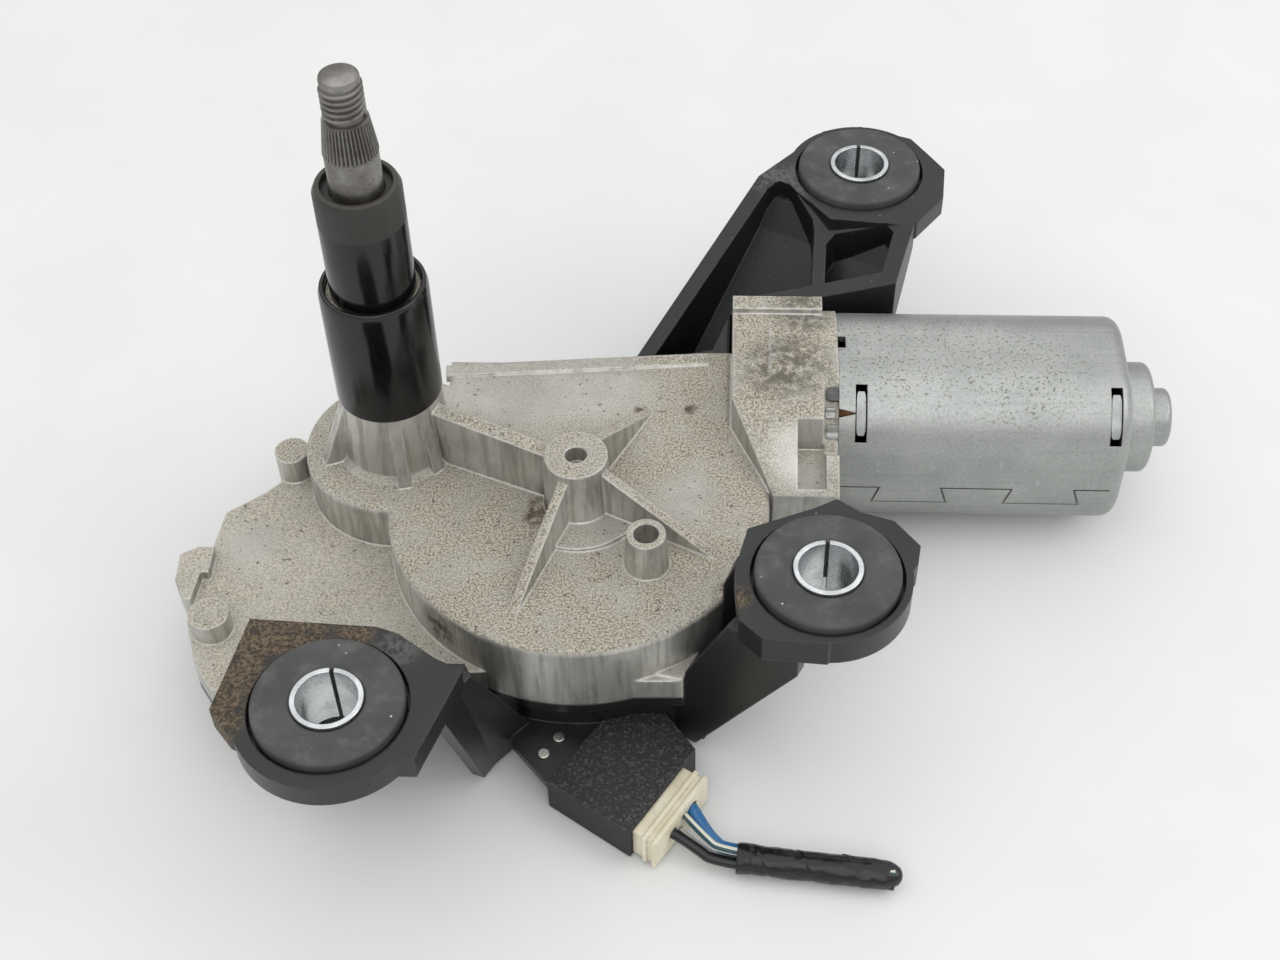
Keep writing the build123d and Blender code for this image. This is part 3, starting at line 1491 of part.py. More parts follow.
commutator_x = can_start_x - 5.0
bar_gap = 0.5
with BuildPart() as commutator:
    with BuildSketch(Plane.YZ.offset(commutator_x)):
        with Locations((motor_y, motor_z)):
            Circle(commutator_r)
            Circle(motor_shaft_r, mode=Mode.SUBTRACT)
            with PolarLocations(commutator_r, commutator_bars):
                Rectangle(1.6, bar_gap, mode=Mode.SUBTRACT)
    extrude(amount=commutator_length)
    with BuildSketch(Plane.YZ.offset(commutator_x + commutator_length)):
        with Locations((motor_y, motor_z)):
            Circle(commutator_r + 1.2)
            Circle(motor_shaft_r, mode=Mode.SUBTRACT)
            with PolarLocations(commutator_r + 1.2, commutator_bars):
                Rectangle(3.6, 1.8, mode=Mode.SUBTRACT)
    extrude(amount=1.2)
save(commutator, "commutator")

# Brush plate in the casting's mouth, with its two brushes and their springs
brush_plate_thickness = 2.5
brush_gap = 0.3
brush_length = 5.0
brush_half_height = 2.4
brush_x = commutator_x + 2.0
brush_width = 4.4
holder_wall = 1.2
holder_end_r = 13.8
brush_start_r = commutator_r + brush_gap
with BuildPart() as brush_plate:
    with BuildSketch(Plane.YZ.offset(chamber_x)):
        with Locations((motor_y, motor_z)):
            Circle(chamber_r)
            Circle(5.2, mode=Mode.SUBTRACT)
    extrude(amount=brush_plate_thickness)
    for side in (-1, 1):
        with BuildSketch(Plane.YZ.offset(chamber_x + brush_plate_thickness)):
            with Locations((motor_y + side * (commutator_r + 1.4 + holder_end_r) / 2, motor_z)):
                Rectangle(holder_end_r - commutator_r - 1.4, 2 * (brush_half_height + holder_wall))
        extrude(amount=brush_x + brush_width + holder_wall - chamber_x - brush_plate_thickness)
    with BuildSketch(Plane.YZ.offset(brush_x)):
        with Locations((motor_y, motor_z)):
            Rectangle(2 * (holder_end_r - holder_wall), 2 * brush_half_height)
    extrude(amount=brush_width, mode=Mode.SUBTRACT)
save(brush_plate, "brush_plate")

with BuildPart() as brushes:
    for side in (-1, 1):
        with BuildSketch(Plane.YZ.offset(brush_x)):
            with Locations((motor_y + side * (brush_start_r + brush_length / 2), motor_z)):
                Rectangle(brush_length, 2 * brush_half_height)
        extrude(amount=brush_width)
save(brushes, "brushes")

spring_wire_r = 1.6
with BuildPart() as brush_springs:
    for side in (-1, 1):
        with BuildSketch(Plane.XZ.offset(-(motor_y + side * (brush_start_r + brush_length)))):
            with Locations((brush_x + brush_width / 2, motor_z)):
                Circle(spring_wire_r)
        extrude(amount=-side * (holder_end_r - holder_wall - brush_start_r - brush_length))
save(brush_springs, "brush_springs")

# Two magnets against the can's flat sides, and the spring clips between them
magnet_overhang = 3.0
magnet_x = core_x - magnet_overhang
magnet_length = core_length + 2 * magnet_overhang + 1.0
magnet_inner_r = core_r + air_gap
can_inner_half = can_across / 2 - can_wall
magnet_limit_r = can_inner_half + 0.9
clip_sheet = 0.7
gap_half_turn = (180 - magnet_angle) / 2


def side_wedge(side, half_turn):
    """Corners of a wedge from the motor's axis towards plus or minus Y."""
    reach = 30
    rise = reach * math.tan(math.radians(half_turn))
    return [
        (motor_y, motor_z),
        (motor_y + side * reach, motor_z - rise),
        (motor_y + side * reach, motor_z + rise),
    ]


with BuildPart() as magnets:
    with BuildSketch(Plane.YZ.offset(magnet_x)):
        with Locations((motor_y, motor_z)):
            Circle(magnet_limit_r)
            Circle(magnet_inner_r, mode=Mode.SUBTRACT)
            RectangleRounded(
                2 * can_inner_half, 2 * can_inner_half, can_corner_r - can_wall, mode=Mode.INTERSECT
            )
        for side in (-1, 1):
            with BuildLine():
                Polyline(*side_wedge(side, gap_half_turn), close=True)
            make_face(mode=Mode.SUBTRACT)
    extrude(amount=magnet_length)
save(magnets, "magnets")

with BuildPart() as magnet_clips:
    for side in (-1, 1):
        with BuildSketch(Plane.YZ.offset(magnet_x)):
            with BuildLine():
                Polyline(*side_wedge(side, gap_half_turn - 1), close=True)
            make_face()
            with Locations((motor_y, motor_z)):
                RectangleRounded(
                    2 * can_inner_half, 2 * can_inner_half, can_corner_r - can_wall, mode=Mode.INTERSECT
                )
                Circle(can_inner_half - clip_sheet, mode=Mode.SUBTRACT)
        extrude(amount=magnet_length)
save(magnet_clips, "magnet_clips")

# Drawn steel can with its stepped end and slots
slot_width_x = 2.4
slot_length = 12.0
slot_places = (can_start_x + 4.6, can_end_x - 3.6)
seam_width = 0.35
seam_depth = 0.35
seam_z = -31.0
dovetail_z = -35.5
dovetail_starts = (8.6, 36.4)
dovetail_length = 14.4
dovetail_lean = 1.4
with BuildPart() as motor_can:
    with BuildSketch(Plane.YZ.offset(can_start_x)):
        with Locations((motor_y, motor_z)):
            RectangleRounded(can_across, can_across, can_corner_r)
    extrude(amount=can_length)
    fillet(faces().sort_by(Axis.X)[-1].edges(), radius=3.0)
    with BuildSketch(Plane.YZ.offset(can_end_x - 1)):
        with Locations((motor_y, motor_z)):
            Circle(end_boss_r)
    extrude(amount=end_boss_length + 1)
    fillet(faces().sort_by(Axis.X)[-1].edges(), radius=1.4)
    with BuildSketch(Plane.YZ.offset(boss_end_x - 1)):
        with Locations((motor_y, motor_z)):
            Circle(nub_r)
    extrude(amount=nub_length + 1)
    fillet(faces().sort_by(Axis.X)[-1].edges(), radius=1.2)
    with BuildSketch(Plane.YZ.offset(can_start_x)):
        with Locations((motor_y, motor_z)):
            RectangleRounded(2 * can_inner_half, 2 * can_inner_half, can_corner_r - can_wall)
    extrude(amount=can_length - can_wall, mode=Mode.SUBTRACT)
    for end_x, inner_r in ((boss_end_x, boss_inner_r), (nub_end_x, nub_r - can_wall)):
        with BuildSketch(Plane.YZ.offset(can_end_x - 4)):
            with Locations((motor_y, motor_z)):
                Circle(inner_r)
        extrude(amount=end_x - can_wall - can_end_x + 4, mode=Mode.SUBTRACT)
    for slot_x in slot_places:
        with BuildSketch(crimp_plane(slot_x, can_wall + 2)):
            Rectangle(slot_width_x, slot_length)
        extrude(amount=8, mode=Mode.SUBTRACT)
    # Split rim beside the first slot, and the small notch in the rim's top
    with BuildSketch(crimp_plane(can_start_x, can_wall + 2)):
        with BuildLine():
            Polyline((-1, 0.9), (0, 0.9), (3.6, 0.1), (3.6, -0.1), (0, -0.9), (-1, -0.9), close=True)
        make_face()
    extrude(amount=8, mode=Mode.SUBTRACT)
    with BuildSketch(Plane.XY.offset(motor_z)):
        with Locations((can_start_x, motor_y + 1.8)):
            Rectangle(3.4, 3.4)
    extrude(amount=can_across, mode=Mode.SUBTRACT)
    # Dovetailed seam along the front side
    with BuildSketch(Plane.XZ.offset(can_across / 2 - motor_y)):
        seam = [(can_start_x - 1, seam_z)]
        for start in dovetail_starts:
            left_x = can_start_x + start
            right_x = left_x + dovetail_length
            seam += [
                (left_x + dovetail_lean / 2, seam_z),
                (left_x - dovetail_lean / 2, dovetail_z),
                (right_x + dovetail_lean / 2, dovetail_z),
                (right_x - dovetail_lean / 2, seam_z),
            ]
        seam.append((can_end_x - 3.0, seam_z))
        for before, after in zip(seam, seam[1:]):
            run = math.dist(before, after) + seam_width
            lean = math.degrees(math.atan2(after[1] - before[1], after[0] - before[0]))
            with Locations(Location(((before[0] + after[0]) / 2, (before[1] + after[1]) / 2, 0), (0, 0, lean))):
                Rectangle(run, seam_width)
    extrude(amount=-seam_depth, mode=Mode.SUBTRACT)
save(motor_can, "motor_can")

# Four wires from the plug, bound with tape into one short taped-off tail
wires = {
    "wire_black": (
        1.05,
        [(58.87, -75.85, -45.4), (63.0, -78.2, -46.2), (67.3, -80.8, -48.2), (100.4, -84.23, -48.2)],
    ),
    "wire_white_upper": (
        0.75,
        [(60.97, -72.51, -44.6), (64.3, -76.8, -44.2), (68.45, -80.04, -45.6), (100.4, -83.35, -45.6)],
    ),
    "wire_white_lower": (
        0.75,
        [(60.01, -74.03, -47.4), (64.2, -77.2, -48.4), (68.6, -79.44, -49.4), (100.4, -82.73, -49.4)],
    ),
    "wire_blue": (
        1.25,
        [
            (62.33, -70.35, -45.2),
            (64.2, -73.7, -45.4),
            (66.3, -76.4, -46.6),
            (69.3, -78.28, -47.7),
            (100.4, -81.49, -47.7),
        ],
    ),
}

# Connector housing at the front of the tub, with the plug in its mouth
connector_top_z = -41.5
connector_foot_z = -50.0
connector_outline = [
    (34.4, -67.5),
    (43.9, -53.8),
    (44.8, -50.0),
    (56.0, -50.0),
    (62.8, -59.3),
    (50.7, -78.5),
]
plug_middle = 13.05
plug_width = 17.2
plug_height = 7.0
plug_proud = 5.5
plug_ridges = (2.4, 4.5)
plug_ridge_width = 0.9
plug_ridge_height = 0.5
plug_insert_width = 15.4
plug_insert_height = 5.4
plug_insert_length = 10.0
plug_mid_z = -45.8
pin_side = 1.0
pin_places = [-5.4, -1.8, 1.8, 5.4]
mouth_start = connector_outline[4]
mouth_end = connector_outline[5]
mouth_width = math.dist(mouth_start, mouth_end)
mouth_way = [(b - a) / mouth_width for a, b in zip(mouth_start, mouth_end)]
mouth_at = [start + way * plug_middle for start, way in zip(mouth_start, mouth_way)]
mouth_plane = Plane(
    origin=(mouth_at[0], mouth_at[1], plug_mid_z),
    x_dir=(-mouth_way[0], -mouth_way[1], 0),
    z_dir=(-mouth_way[1], mouth_way[0], 0),
)
with BuildPart() as connector_housing:
    with BuildSketch(Plane.XY.offset(connector_foot_z)):
        with BuildLine():
            Polyline(*connector_outline, close=True)
        make_face()
        add(skirt_shape(cover_step - 0.02), mode=Mode.SUBTRACT)
    extrude(amount=connector_top_z - connector_foot_z)
    with BuildSketch(Plane.XY.offset(tab_top_z - tab_thickness - 0.02)):
        with BuildLine():
            Polyline(*tab_outline, close=True)
        make_face()
    extrude(amount=20, mode=Mode.SUBTRACT)
    with BuildSketch(mouth_plane.offset(1)):
        Rectangle(plug_insert_width + 0.2, plug_insert_height + 0.2)
    extrude(amount=-plug_insert_length - 3, mode=Mode.SUBTRACT)
save(connector_housing, "connector_housing")

with BuildPart() as plug:
    with BuildSketch(mouth_plane):
        Rectangle(plug_width, plug_height)
    extrude(amount=plug_proud)
    for ridge in plug_ridges:
        with BuildSketch(mouth_plane.offset(ridge)):
            Rectangle(plug_width + 2 * plug_ridge_height, plug_height + 2 * plug_ridge_height)
        extrude(amount=plug_ridge_width)
    with BuildSketch(mouth_plane):
        Rectangle(plug_insert_width, plug_insert_height)
    extrude(amount=-plug_insert_length)
    with BuildSketch(mouth_plane.offset(-plug_insert_length)):
        with Locations([(place, 0) for place in pin_places]):
            Rectangle(pin_side + 0.2, pin_side + 0.2)
    extrude(amount=6.0, mode=Mode.SUBTRACT)
    for wire_r, route in wires.values():
        first_run = math.dist(route[0], route[1])
        way = [(b - a) / first_run for a, b in zip(route[0], route[1])]
        with BuildSketch(Plane(origin=route[0], z_dir=way)):
            Circle(wire_r + fit_gap)
        extrude(amount=2, both=True, mode=Mode.SUBTRACT)
save(plug, "plug")

with BuildPart() as connector_pins:
    with BuildSketch(mouth_plane.offset(-plug_insert_length - 2)):
        with Locations([(place, 0) for place in pin_places]):
            Rectangle(pin_side, pin_side)
    extrude(amount=6.0)
save(connector_pins, "connector_pins")

rivets = [(36.0, -56.8), (33.3, -60.7)]
with BuildPart() as terminal_rivets:
    for place in rivets:
        with BuildSketch(Plane.XY.offset(tab_top_z)):
            with Locations(place):
                Circle(1.2)
        extrude(amount=0.6)
save(terminal_rivets, "terminal_rivets")


def bend_radius(before, corner, after):
    """Largest arc that two neighbouring runs allow at their corner."""
    back = [a - b for a, b in zip(before, corner)]
    on = [a - b for a, b in zip(after, corner)]
    runs = (math.hypot(*back), math.hypot(*on))
    cosine = -sum(a * b for a, b in zip(back, on)) / (runs[0] * runs[1])
    return 0.45 * min(runs) / math.tan(math.acos(cosine) / 2)


for node, (wire_r, route) in wires.items():
    radii = [bend_radius(*route[i : i + 3]) for i in range(len(route) - 2)]
    print(node, "radii", [round(radius, 1) for radius in radii])
    with BuildPart() as wire:
        with BuildLine() as wire_line:
            FilletPolyline(*route, radius=radii)
        path = wire_line.wires()[0]
        with BuildSketch(Plane(origin=path @ 0, z_dir=path % 0)):
            Circle(wire_r)
        sweep(path=path)
    ratio = wire.part.volume / (math.pi * wire_r**2 * path.length)
    print(node, "length", round(path.length, 2), "volume ratio", round(ratio, 4))
    save(wire, node)

tape_start = (71.0, -79.8, -47.3)
tape_end = (102.0, -83.0, -47.3)
tape_r = 3.2
tape_length = math.dist(tape_start, tape_end)
tape_out = [(b - a) / tape_length for a, b in zip(tape_start, tape_end)]
tape_plane = Plane(origin=tape_start, x_dir=tape_out, z_dir=(tape_out[1], -tape_out[0], 0))
with BuildPart() as tape_wrap:
    with BuildSketch(tape_plane):
        with BuildLine():
            Polyline(
                (0, 0),
                (0, tape_r - 0.1),
                (0.6, tape_r),
                (tape_length - 3.2, tape_r),
                (tape_length - 1.0, tape_r - 0.9),
                (tape_length, tape_r - 2.2),
                (tape_length, 0),
                close=True,
            )
        make_face()
    revolve(axis=Axis(tape_start, tape_out))
    for wire_r, route in wires.values():
        way = [(b - a) / math.dist(route[-2], route[-1]) for a, b in zip(route[-2], route[-1])]
        with BuildSketch(Plane(origin=route[-1], z_dir=way)):
            Circle(wire_r + running_fit)
        extrude(amount=-30, mode=Mode.SUBTRACT)
save(tape_wrap, "tape_wrap")
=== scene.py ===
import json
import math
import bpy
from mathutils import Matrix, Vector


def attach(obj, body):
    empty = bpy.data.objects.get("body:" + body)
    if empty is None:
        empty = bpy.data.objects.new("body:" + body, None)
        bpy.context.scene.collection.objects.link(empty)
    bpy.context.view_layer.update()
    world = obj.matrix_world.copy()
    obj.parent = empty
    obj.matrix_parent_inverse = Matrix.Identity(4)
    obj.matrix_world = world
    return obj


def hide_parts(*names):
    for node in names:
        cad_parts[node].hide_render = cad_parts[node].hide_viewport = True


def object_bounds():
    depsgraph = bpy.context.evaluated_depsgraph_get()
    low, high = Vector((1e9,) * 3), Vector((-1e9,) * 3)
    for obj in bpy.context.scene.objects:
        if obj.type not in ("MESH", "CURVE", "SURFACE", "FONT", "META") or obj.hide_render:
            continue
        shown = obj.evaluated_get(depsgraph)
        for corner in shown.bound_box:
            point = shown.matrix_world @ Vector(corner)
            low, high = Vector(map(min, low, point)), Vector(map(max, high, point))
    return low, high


bl_info = {
    "name": "Rear wiper motor",
    "version": (1, 1, 0),
    "blender": (4, 5, 0),
    "location": "3D View > Sidebar > Wiper motor",
    "description": "Finishes a rear wiper gearmotor with its spindle, ears, connector and studio",
    "category": "Object",
}

import bmesh
import bpy
from mathutils import Matrix, Vector, noise

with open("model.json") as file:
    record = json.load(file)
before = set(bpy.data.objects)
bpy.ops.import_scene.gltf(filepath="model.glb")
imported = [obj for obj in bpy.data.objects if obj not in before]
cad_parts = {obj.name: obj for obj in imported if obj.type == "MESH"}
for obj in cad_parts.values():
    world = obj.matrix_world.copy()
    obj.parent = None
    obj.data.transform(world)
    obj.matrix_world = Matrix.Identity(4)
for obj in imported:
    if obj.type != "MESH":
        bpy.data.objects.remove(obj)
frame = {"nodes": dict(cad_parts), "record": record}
CAD_BOX = [list(corner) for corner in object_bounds()]
MM = 0.001
BODY_OF = {
    node: body
    for body, nodes in frame["record"]["behaviour"]["bodies"].items()
    for node in nodes
}


class Value:
    """Output socket of a node, with arithmetic that adds Math nodes."""

    def __init__(self, recipe, socket):
        self.recipe = recipe
        self.socket = socket

    def math(self, operation, *others, clamp=False):
        """Math node with this value first."""
        inputs = {0: self}
        inputs.update({place + 1: other for place, other in enumerate(others)})
        return self.recipe.node(
            "ShaderNodeMath", {"operation": operation, "use_clamp": clamp}, inputs
        )

    def reflected(self, operation, other):
        """Math node with this value second."""
        return self.recipe.node("ShaderNodeMath", {"operation": operation}, {0: other, 1: self})

    def __add__(self, other):
        return self.math("ADD", other)

    def __radd__(self, other):
        return self.reflected("ADD", other)

    def __sub__(self, other):
        return self.math("SUBTRACT", other)

    def __rsub__(self, other):
        return self.reflected("SUBTRACT", other)

    def __mul__(self, other):
        return self.math("MULTIPLY", other)

    def __rmul__(self, other):
        return self.reflected("MULTIPLY", other)

    def clamp(self):
        """Value held between 0 and 1."""
        return self.math("MULTIPLY", 1.0, clamp=True)

    def between(self, low, high):
        """0 below low, 1 above high, smooth in between."""
        return self.recipe.node(
            "ShaderNodeMapRange",
            {"interpolation_type": "SMOOTHSTEP"},
            {"Value": self, "From Min": low, "From Max": high},
        )


class Recipe:
    """Node tree of a material or of the world."""

    def __init__(self, owner, output="ShaderNodeOutputMaterial"):
        self.owner = owner
        self.owner.use_nodes = True
        self.tree = owner.node_tree
        self.tree.nodes.clear()
        self.output = self.tree.nodes.new(output)

    def node(self, kind, settings=None, inputs=None, output=0):
        """Adds a node of a type with its settings, then the values or links of its sockets."""
        made = self.tree.nodes.new(kind)
        for key, value in (settings or {}).items():
            setattr(made, key, value)
        for key, value in (inputs or {}).items():
            if isinstance(value, Value):
                self.tree.links.new(value.socket, made.inputs[key])
            else:
                made.inputs[key].default_value = value
        return Value(self, made.outputs[output])

    def place(self):
        """Coordinates on the object, in metres."""
        return self.node("ShaderNodeTexCoord", output="Object")

    def noise(self, size, detail=3.0, roughness=0.55, stretch=None):
        """Noise whose lumps are about a size in metres."""
        place = self.place()
        if stretch:
            place = self.node("ShaderNodeMapping", {}, {"Vector": place, "Scale": stretch})
        return self.node(
            "ShaderNodeTexNoise",
            {},
            {"Vector": place, "Scale": 1.0 / size, "Detail": detail, "Roughness": roughness},
        )

    def cracks(self, size, width):
        """Thin lines between cells of a size in metres, with their width as a share of it."""
        edge = self.node(
            "ShaderNodeTexVoronoi",
            {"feature": "DISTANCE_TO_EDGE"},
            {"Vector": self.place(), "Scale": 1.0 / size},
            output="Distance",
        )
        return 1.0 - edge.between(0.0, width)

    def dots(self, size, width):
        """Small dots scattered about a size in metres apart, with their width as a share of it."""
        centre = self.node(
            "ShaderNodeTexVoronoi",
            {},
            {"Vector": self.place(), "Scale": 1.0 / size},
            output="Distance",
        )
        return 1.0 - centre.between(width * 0.4, width)

    def mix(self, factor, first, second):
        """Colour mix of two colours or links."""
        colours = [
            colour if isinstance(colour, Value) else (*colour, 1.0) for colour in (first, second)
        ]
        return self.node(
            "ShaderNodeMix",
            {"data_type": "RGBA"},
            {0: factor, 6: colours[0], 7: colours[1]},
            output=2,
        )

    def near(self, centre, reach):
        """1 at a place of the object, falling to 0 at a reach, both in millimetres."""
        distance = self.node(
            "ShaderNodeVectorMath",
            {"operation": "DISTANCE"},
            {0: self.place(), 1: tuple(part * MM for part in centre)},
            output="Value",
        )
        return 1.0 - distance.between(reach * 0.3 * MM, reach * MM)

    def around(self, places):
        """1 near any of several (centre, reach) places."""
        total = self.near(*places[0])
        for centre, reach in places[1:]:
            total = total + self.near(centre, reach)
        return total.clamp()

    def upward(self, low=0.35, high=0.85):
        """1 on faces that look up, where dust lies."""
        normal = self.node("ShaderNodeNewGeometry", output="Normal")
        return self.node("ShaderNodeSeparateXYZ", {}, {0: normal}, output="Z").between(low, high)

    def corners(self, reach, alone=True):
        """Mask of inner corners and narrow gaps, up to a reach in millimetres."""
        free = self.node(
            "ShaderNodeAmbientOcclusion",
            {"samples": 6, "only_local": alone},
            {"Distance": reach * MM},
            output="AO",
        )
        return (1.0 - free).between(0.20, 0.60)

    def edges(self, radius):
        """Mask of the edges, from how far a bevel turns the surface there."""
        soft = self.node("ShaderNodeBevel", {"samples": 6}, {"Radius": radius * MM})
        hard = self.node("ShaderNodeNewGeometry", output="Normal")
        turn = self.node(
            "ShaderNodeVectorMath", {"operation": "DOT_PRODUCT"}, {0: soft, 1: hard}, output="Value"
        )
        return (1.0 - turn).between(0.02, 0.30)

    def rounded(self, radius):
        """Normal that rounds the edges by a radius in millimetres."""
        return self.node("ShaderNodeBevel", {"samples": 6}, {"Radius": radius * MM})

    def bump(self, height, strength, distance, normal=None):
        """Bump of a height, with its distance in millimetres."""
        inputs = {"Strength": strength, "Distance": distance * MM, "Height": height}
        if normal:
            inputs["Normal"] = normal
        return self.node("ShaderNodeBump", {}, inputs)

    def finish(self, **sockets):
        """Ends the tree in a Principled shader with its values and links."""
        inputs = {key.replace("_", " "): value for key, value in sockets.items()}
        shader = self.node("ShaderNodeBsdfPrincipled", {}, inputs)
        self.tree.links.new(shader.socket, self.output.inputs["Surface"])
        return self.owner


def new_finish(name):
    """Recipe of a new material."""
    return Recipe(bpy.data.materials.new(name))


def settings():
    """Sizes and colours of the scene."""
    return bpy.context.scene.wiper_motor


def link(name, mesh, node=None, body=None, replaces=()):
    """Object of a mesh that rides on a body, the given one or that of a node, and hides the parts
    it replaces.
    """
    piece = bpy.data.objects.new(name, mesh)
    bpy.context.scene.collection.objects.link(piece)
    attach(piece, body or BODY_OF[node])
    if replaces:
        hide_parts(*replaces)
    return piece


def mesh_of(work, name, material=None, smooth_angle=35):
    """Mesh made of a bmesh, smooth except at edges sharper than an angle in degrees."""
    for face in work.faces:
        face.smooth = True
    mesh = bpy.data.meshes.new(name)
    work.to_mesh(mesh)
    work.free()
    mesh.set_sharp_from_angle(angle=math.radians(smooth_angle))
    if material:
        mesh.materials.append(material)
    return mesh


def round_edges(piece, width, segments=2):
    """Rounds the sharp edges of a piece by a width in millimetres."""
    bevel = piece.modifiers.new("rounded edges", "BEVEL")
    bevel.width = width * MM
    bevel.segments = segments
    bevel.limit_method = "ANGLE"
    bevel.angle_limit = math.radians(40)
    bevel.harden_normals = True


def soften(node, material, width, segments=2):
    """Merged copy of a CAD node with rounded edges, which stands for it."""
    work = bmesh.new()
    work.from_mesh(frame["nodes"][node].data)
    bmesh.ops.remove_doubles(work, verts=work.verts, dist=2e-6)
    bmesh.ops.dissolve_limit(
        work, angle_limit=math.radians(0.5), verts=work.verts, edges=work.edges
    )
    name = node + "_finished"
    piece = link(name, mesh_of(work, name, material), node, replaces=(node,))
    round_edges(piece, width, segments)
    return piece


def paint(nodes, material):
    """Gives CAD nodes a material where their shape needs no change."""
    for node in nodes:
        part = frame["nodes"][node]
        if not part.material_slots:
            part.data.materials.append(material)
        for place in part.material_slots:
            place.material = material


def spun(profile, steps):
    """Closed turned piece of a profile of (radius, height) points, round an upright axis."""
    work = bmesh.new()
    points = [work.verts.new((radius, 0, height)) for radius, height in profile]
    lines = [work.edges.new(pair) for pair in zip(points, points[1:])]
    bmesh.ops.spin(
        work,
        geom=points + lines,
        angle=2 * math.pi,
        steps=steps,
        axis=(0, 0, 1),
        cent=(0, 0, 0),
        use_merge=True,
        use_duplicate=False,
    )
    bmesh.ops.remove_doubles(work, verts=work.verts, dist=1e-6)
    bmesh.ops.recalc_face_normals(work, faces=work.faces)
    return work


# Finishes


def casting_finish():
    """Die-cast alloy: sandy dust on top, streaked walls, clean patches, bright edges that are
    partly wear and partly painted highlight, inner corners darkened by grimy build-up and painted
    shade, and stains.
    """
    look = settings()
    recipe = new_finish("casting")
    cloud = recipe.noise(0.016, 4)
    up = recipe.upward()
    streaks = recipe.noise(0.0016, 4, 0.65, stretch=(1.0, 1.0, 0.10))
    metal = recipe.mix(cloud.between(0.35, 0.68), look.casting_dark, look.casting_light)
    metal = recipe.mix(streaks.between(0.42, 0.66) * (0.52 - 0.37 * up), metal, look.casting_streak)
    metal = recipe.mix(up * 0.3, metal, (0.40, 0.39, 0.36))
    clean = recipe.around(
        (
            ((27, 14, -18.5), 17), ((43, 17, -18.5), 16), ((12, 20, -18.5), 18),
            ((46, -22, -18.5), 12), ((60, -14, -18.5), 9), ((-30, -20, -29.5), 9),
            ((84, -8, -20), 10),
        )
    )
    sand = recipe.noise(0.00042, 2.5, 0.6)
    grains = recipe.mix(sand.between(0.38, 0.60), look.dust_dark, look.dust_light)
    height = recipe.node("ShaderNodeSeparateXYZ", {}, {0: recipe.place()}, output="Z")
    grains = recipe.mix((1.0 - height.between(-0.027, -0.022)) * 0.30, grains, (0.66, 0.63, 0.54))
    patchy = recipe.noise(0.007, 3).between(0.30, 0.62)
    dust = up * (0.55 + 0.45 * patchy) * (1.0 - 0.65 * clean) + 0.22 * sand.between(0.5, 0.7)
    dust = dust.clamp()
    base = recipe.mix(dust * 0.88, metal, grains)
    pits = recipe.noise(0.0010, 2, 0.5).between(0.66, 0.72) * (0.3 + 0.6 * up)
    base = recipe.mix(pits * 0.8, base, (0.075, 0.062, 0.045))
    # Inner corners darkened brown, found by occlusion: grimy build-up and painted shade.
    grime_and_shade = recipe.corners(2.2) * recipe.noise(0.0025, 4, 0.7).between(0.40, 0.60)
    base = recipe.mix(grime_and_shade * 0.30, base, (0.13, 0.105, 0.07))
    # Inner fillets painted in the bright colour: a painted highlight where walls meet floors.
    base = recipe.mix(recipe.corners(0.8) * 0.40, base, look.casting_highlight_and_wear)
    # Darker patches on upward faces of the block's top, at given places in front of the raised pad.
    dark_top_patches = recipe.around((((80, 14, -8), 13), ((84, 30, -9), 9))) * up
    dark_top_patches = dark_top_patches * recipe.noise(0.003, 4, 0.7).between(0.35, 0.6)
    base = recipe.mix(dark_top_patches * 0.85, base, (0.10, 0.09, 0.068))
    stains = recipe.around(
        (
            ((31.2, -17.5, -17), 4.5), ((30, -20.5, -18.5), 3.5), ((60.5, 10.5, -18.5), 2.2),
            ((50, 10, -18.5), 2.0), ((69.5, -39.5, -19), 5), ((64, -49, -19), 4),
            ((-13, -58, -29.5), 5), ((-18, -60, -30), 5), ((12, -45, -24), 6),
            ((40, -12, -10), 2.5),
        )
    )
    stains = stains * recipe.noise(0.0020, 5, 0.7).between(0.38, 0.58)
    base = recipe.mix(stains * 0.8, base, (0.085, 0.055, 0.030))
    # A bright patch at one given place on the flange, in the same bright colour.
    base = recipe.mix(recipe.around((((82, -5, -15), 9),)) * 0.45, base, look.casting_highlight_and_wear)
    # Bright lines along outer and inner edges: rubbed wear, and a painted highlight along the inner
    # fillets.
    worn_and_highlit = recipe.edges(1.1) * recipe.noise(0.004, 3).between(0.25, 0.50)
    base = recipe.mix(worn_and_highlit * 0.80, base, look.casting_highlight_and_wear)
    metallic = 0.75 * (1.0 - dust) + 0.35 * worn_and_highlit
    rough = 0.44 + 0.34 * dust - 0.12 * worn_and_highlit + 0.3 * stains
    normal = recipe.bump(sand, 0.35 + 0.3 * dust, 0.12, recipe.rounded(0.8))
    return recipe.finish(
        Base_Color=base, Metallic=metallic.clamp(), Roughness=rough.clamp(), Normal=normal
    )


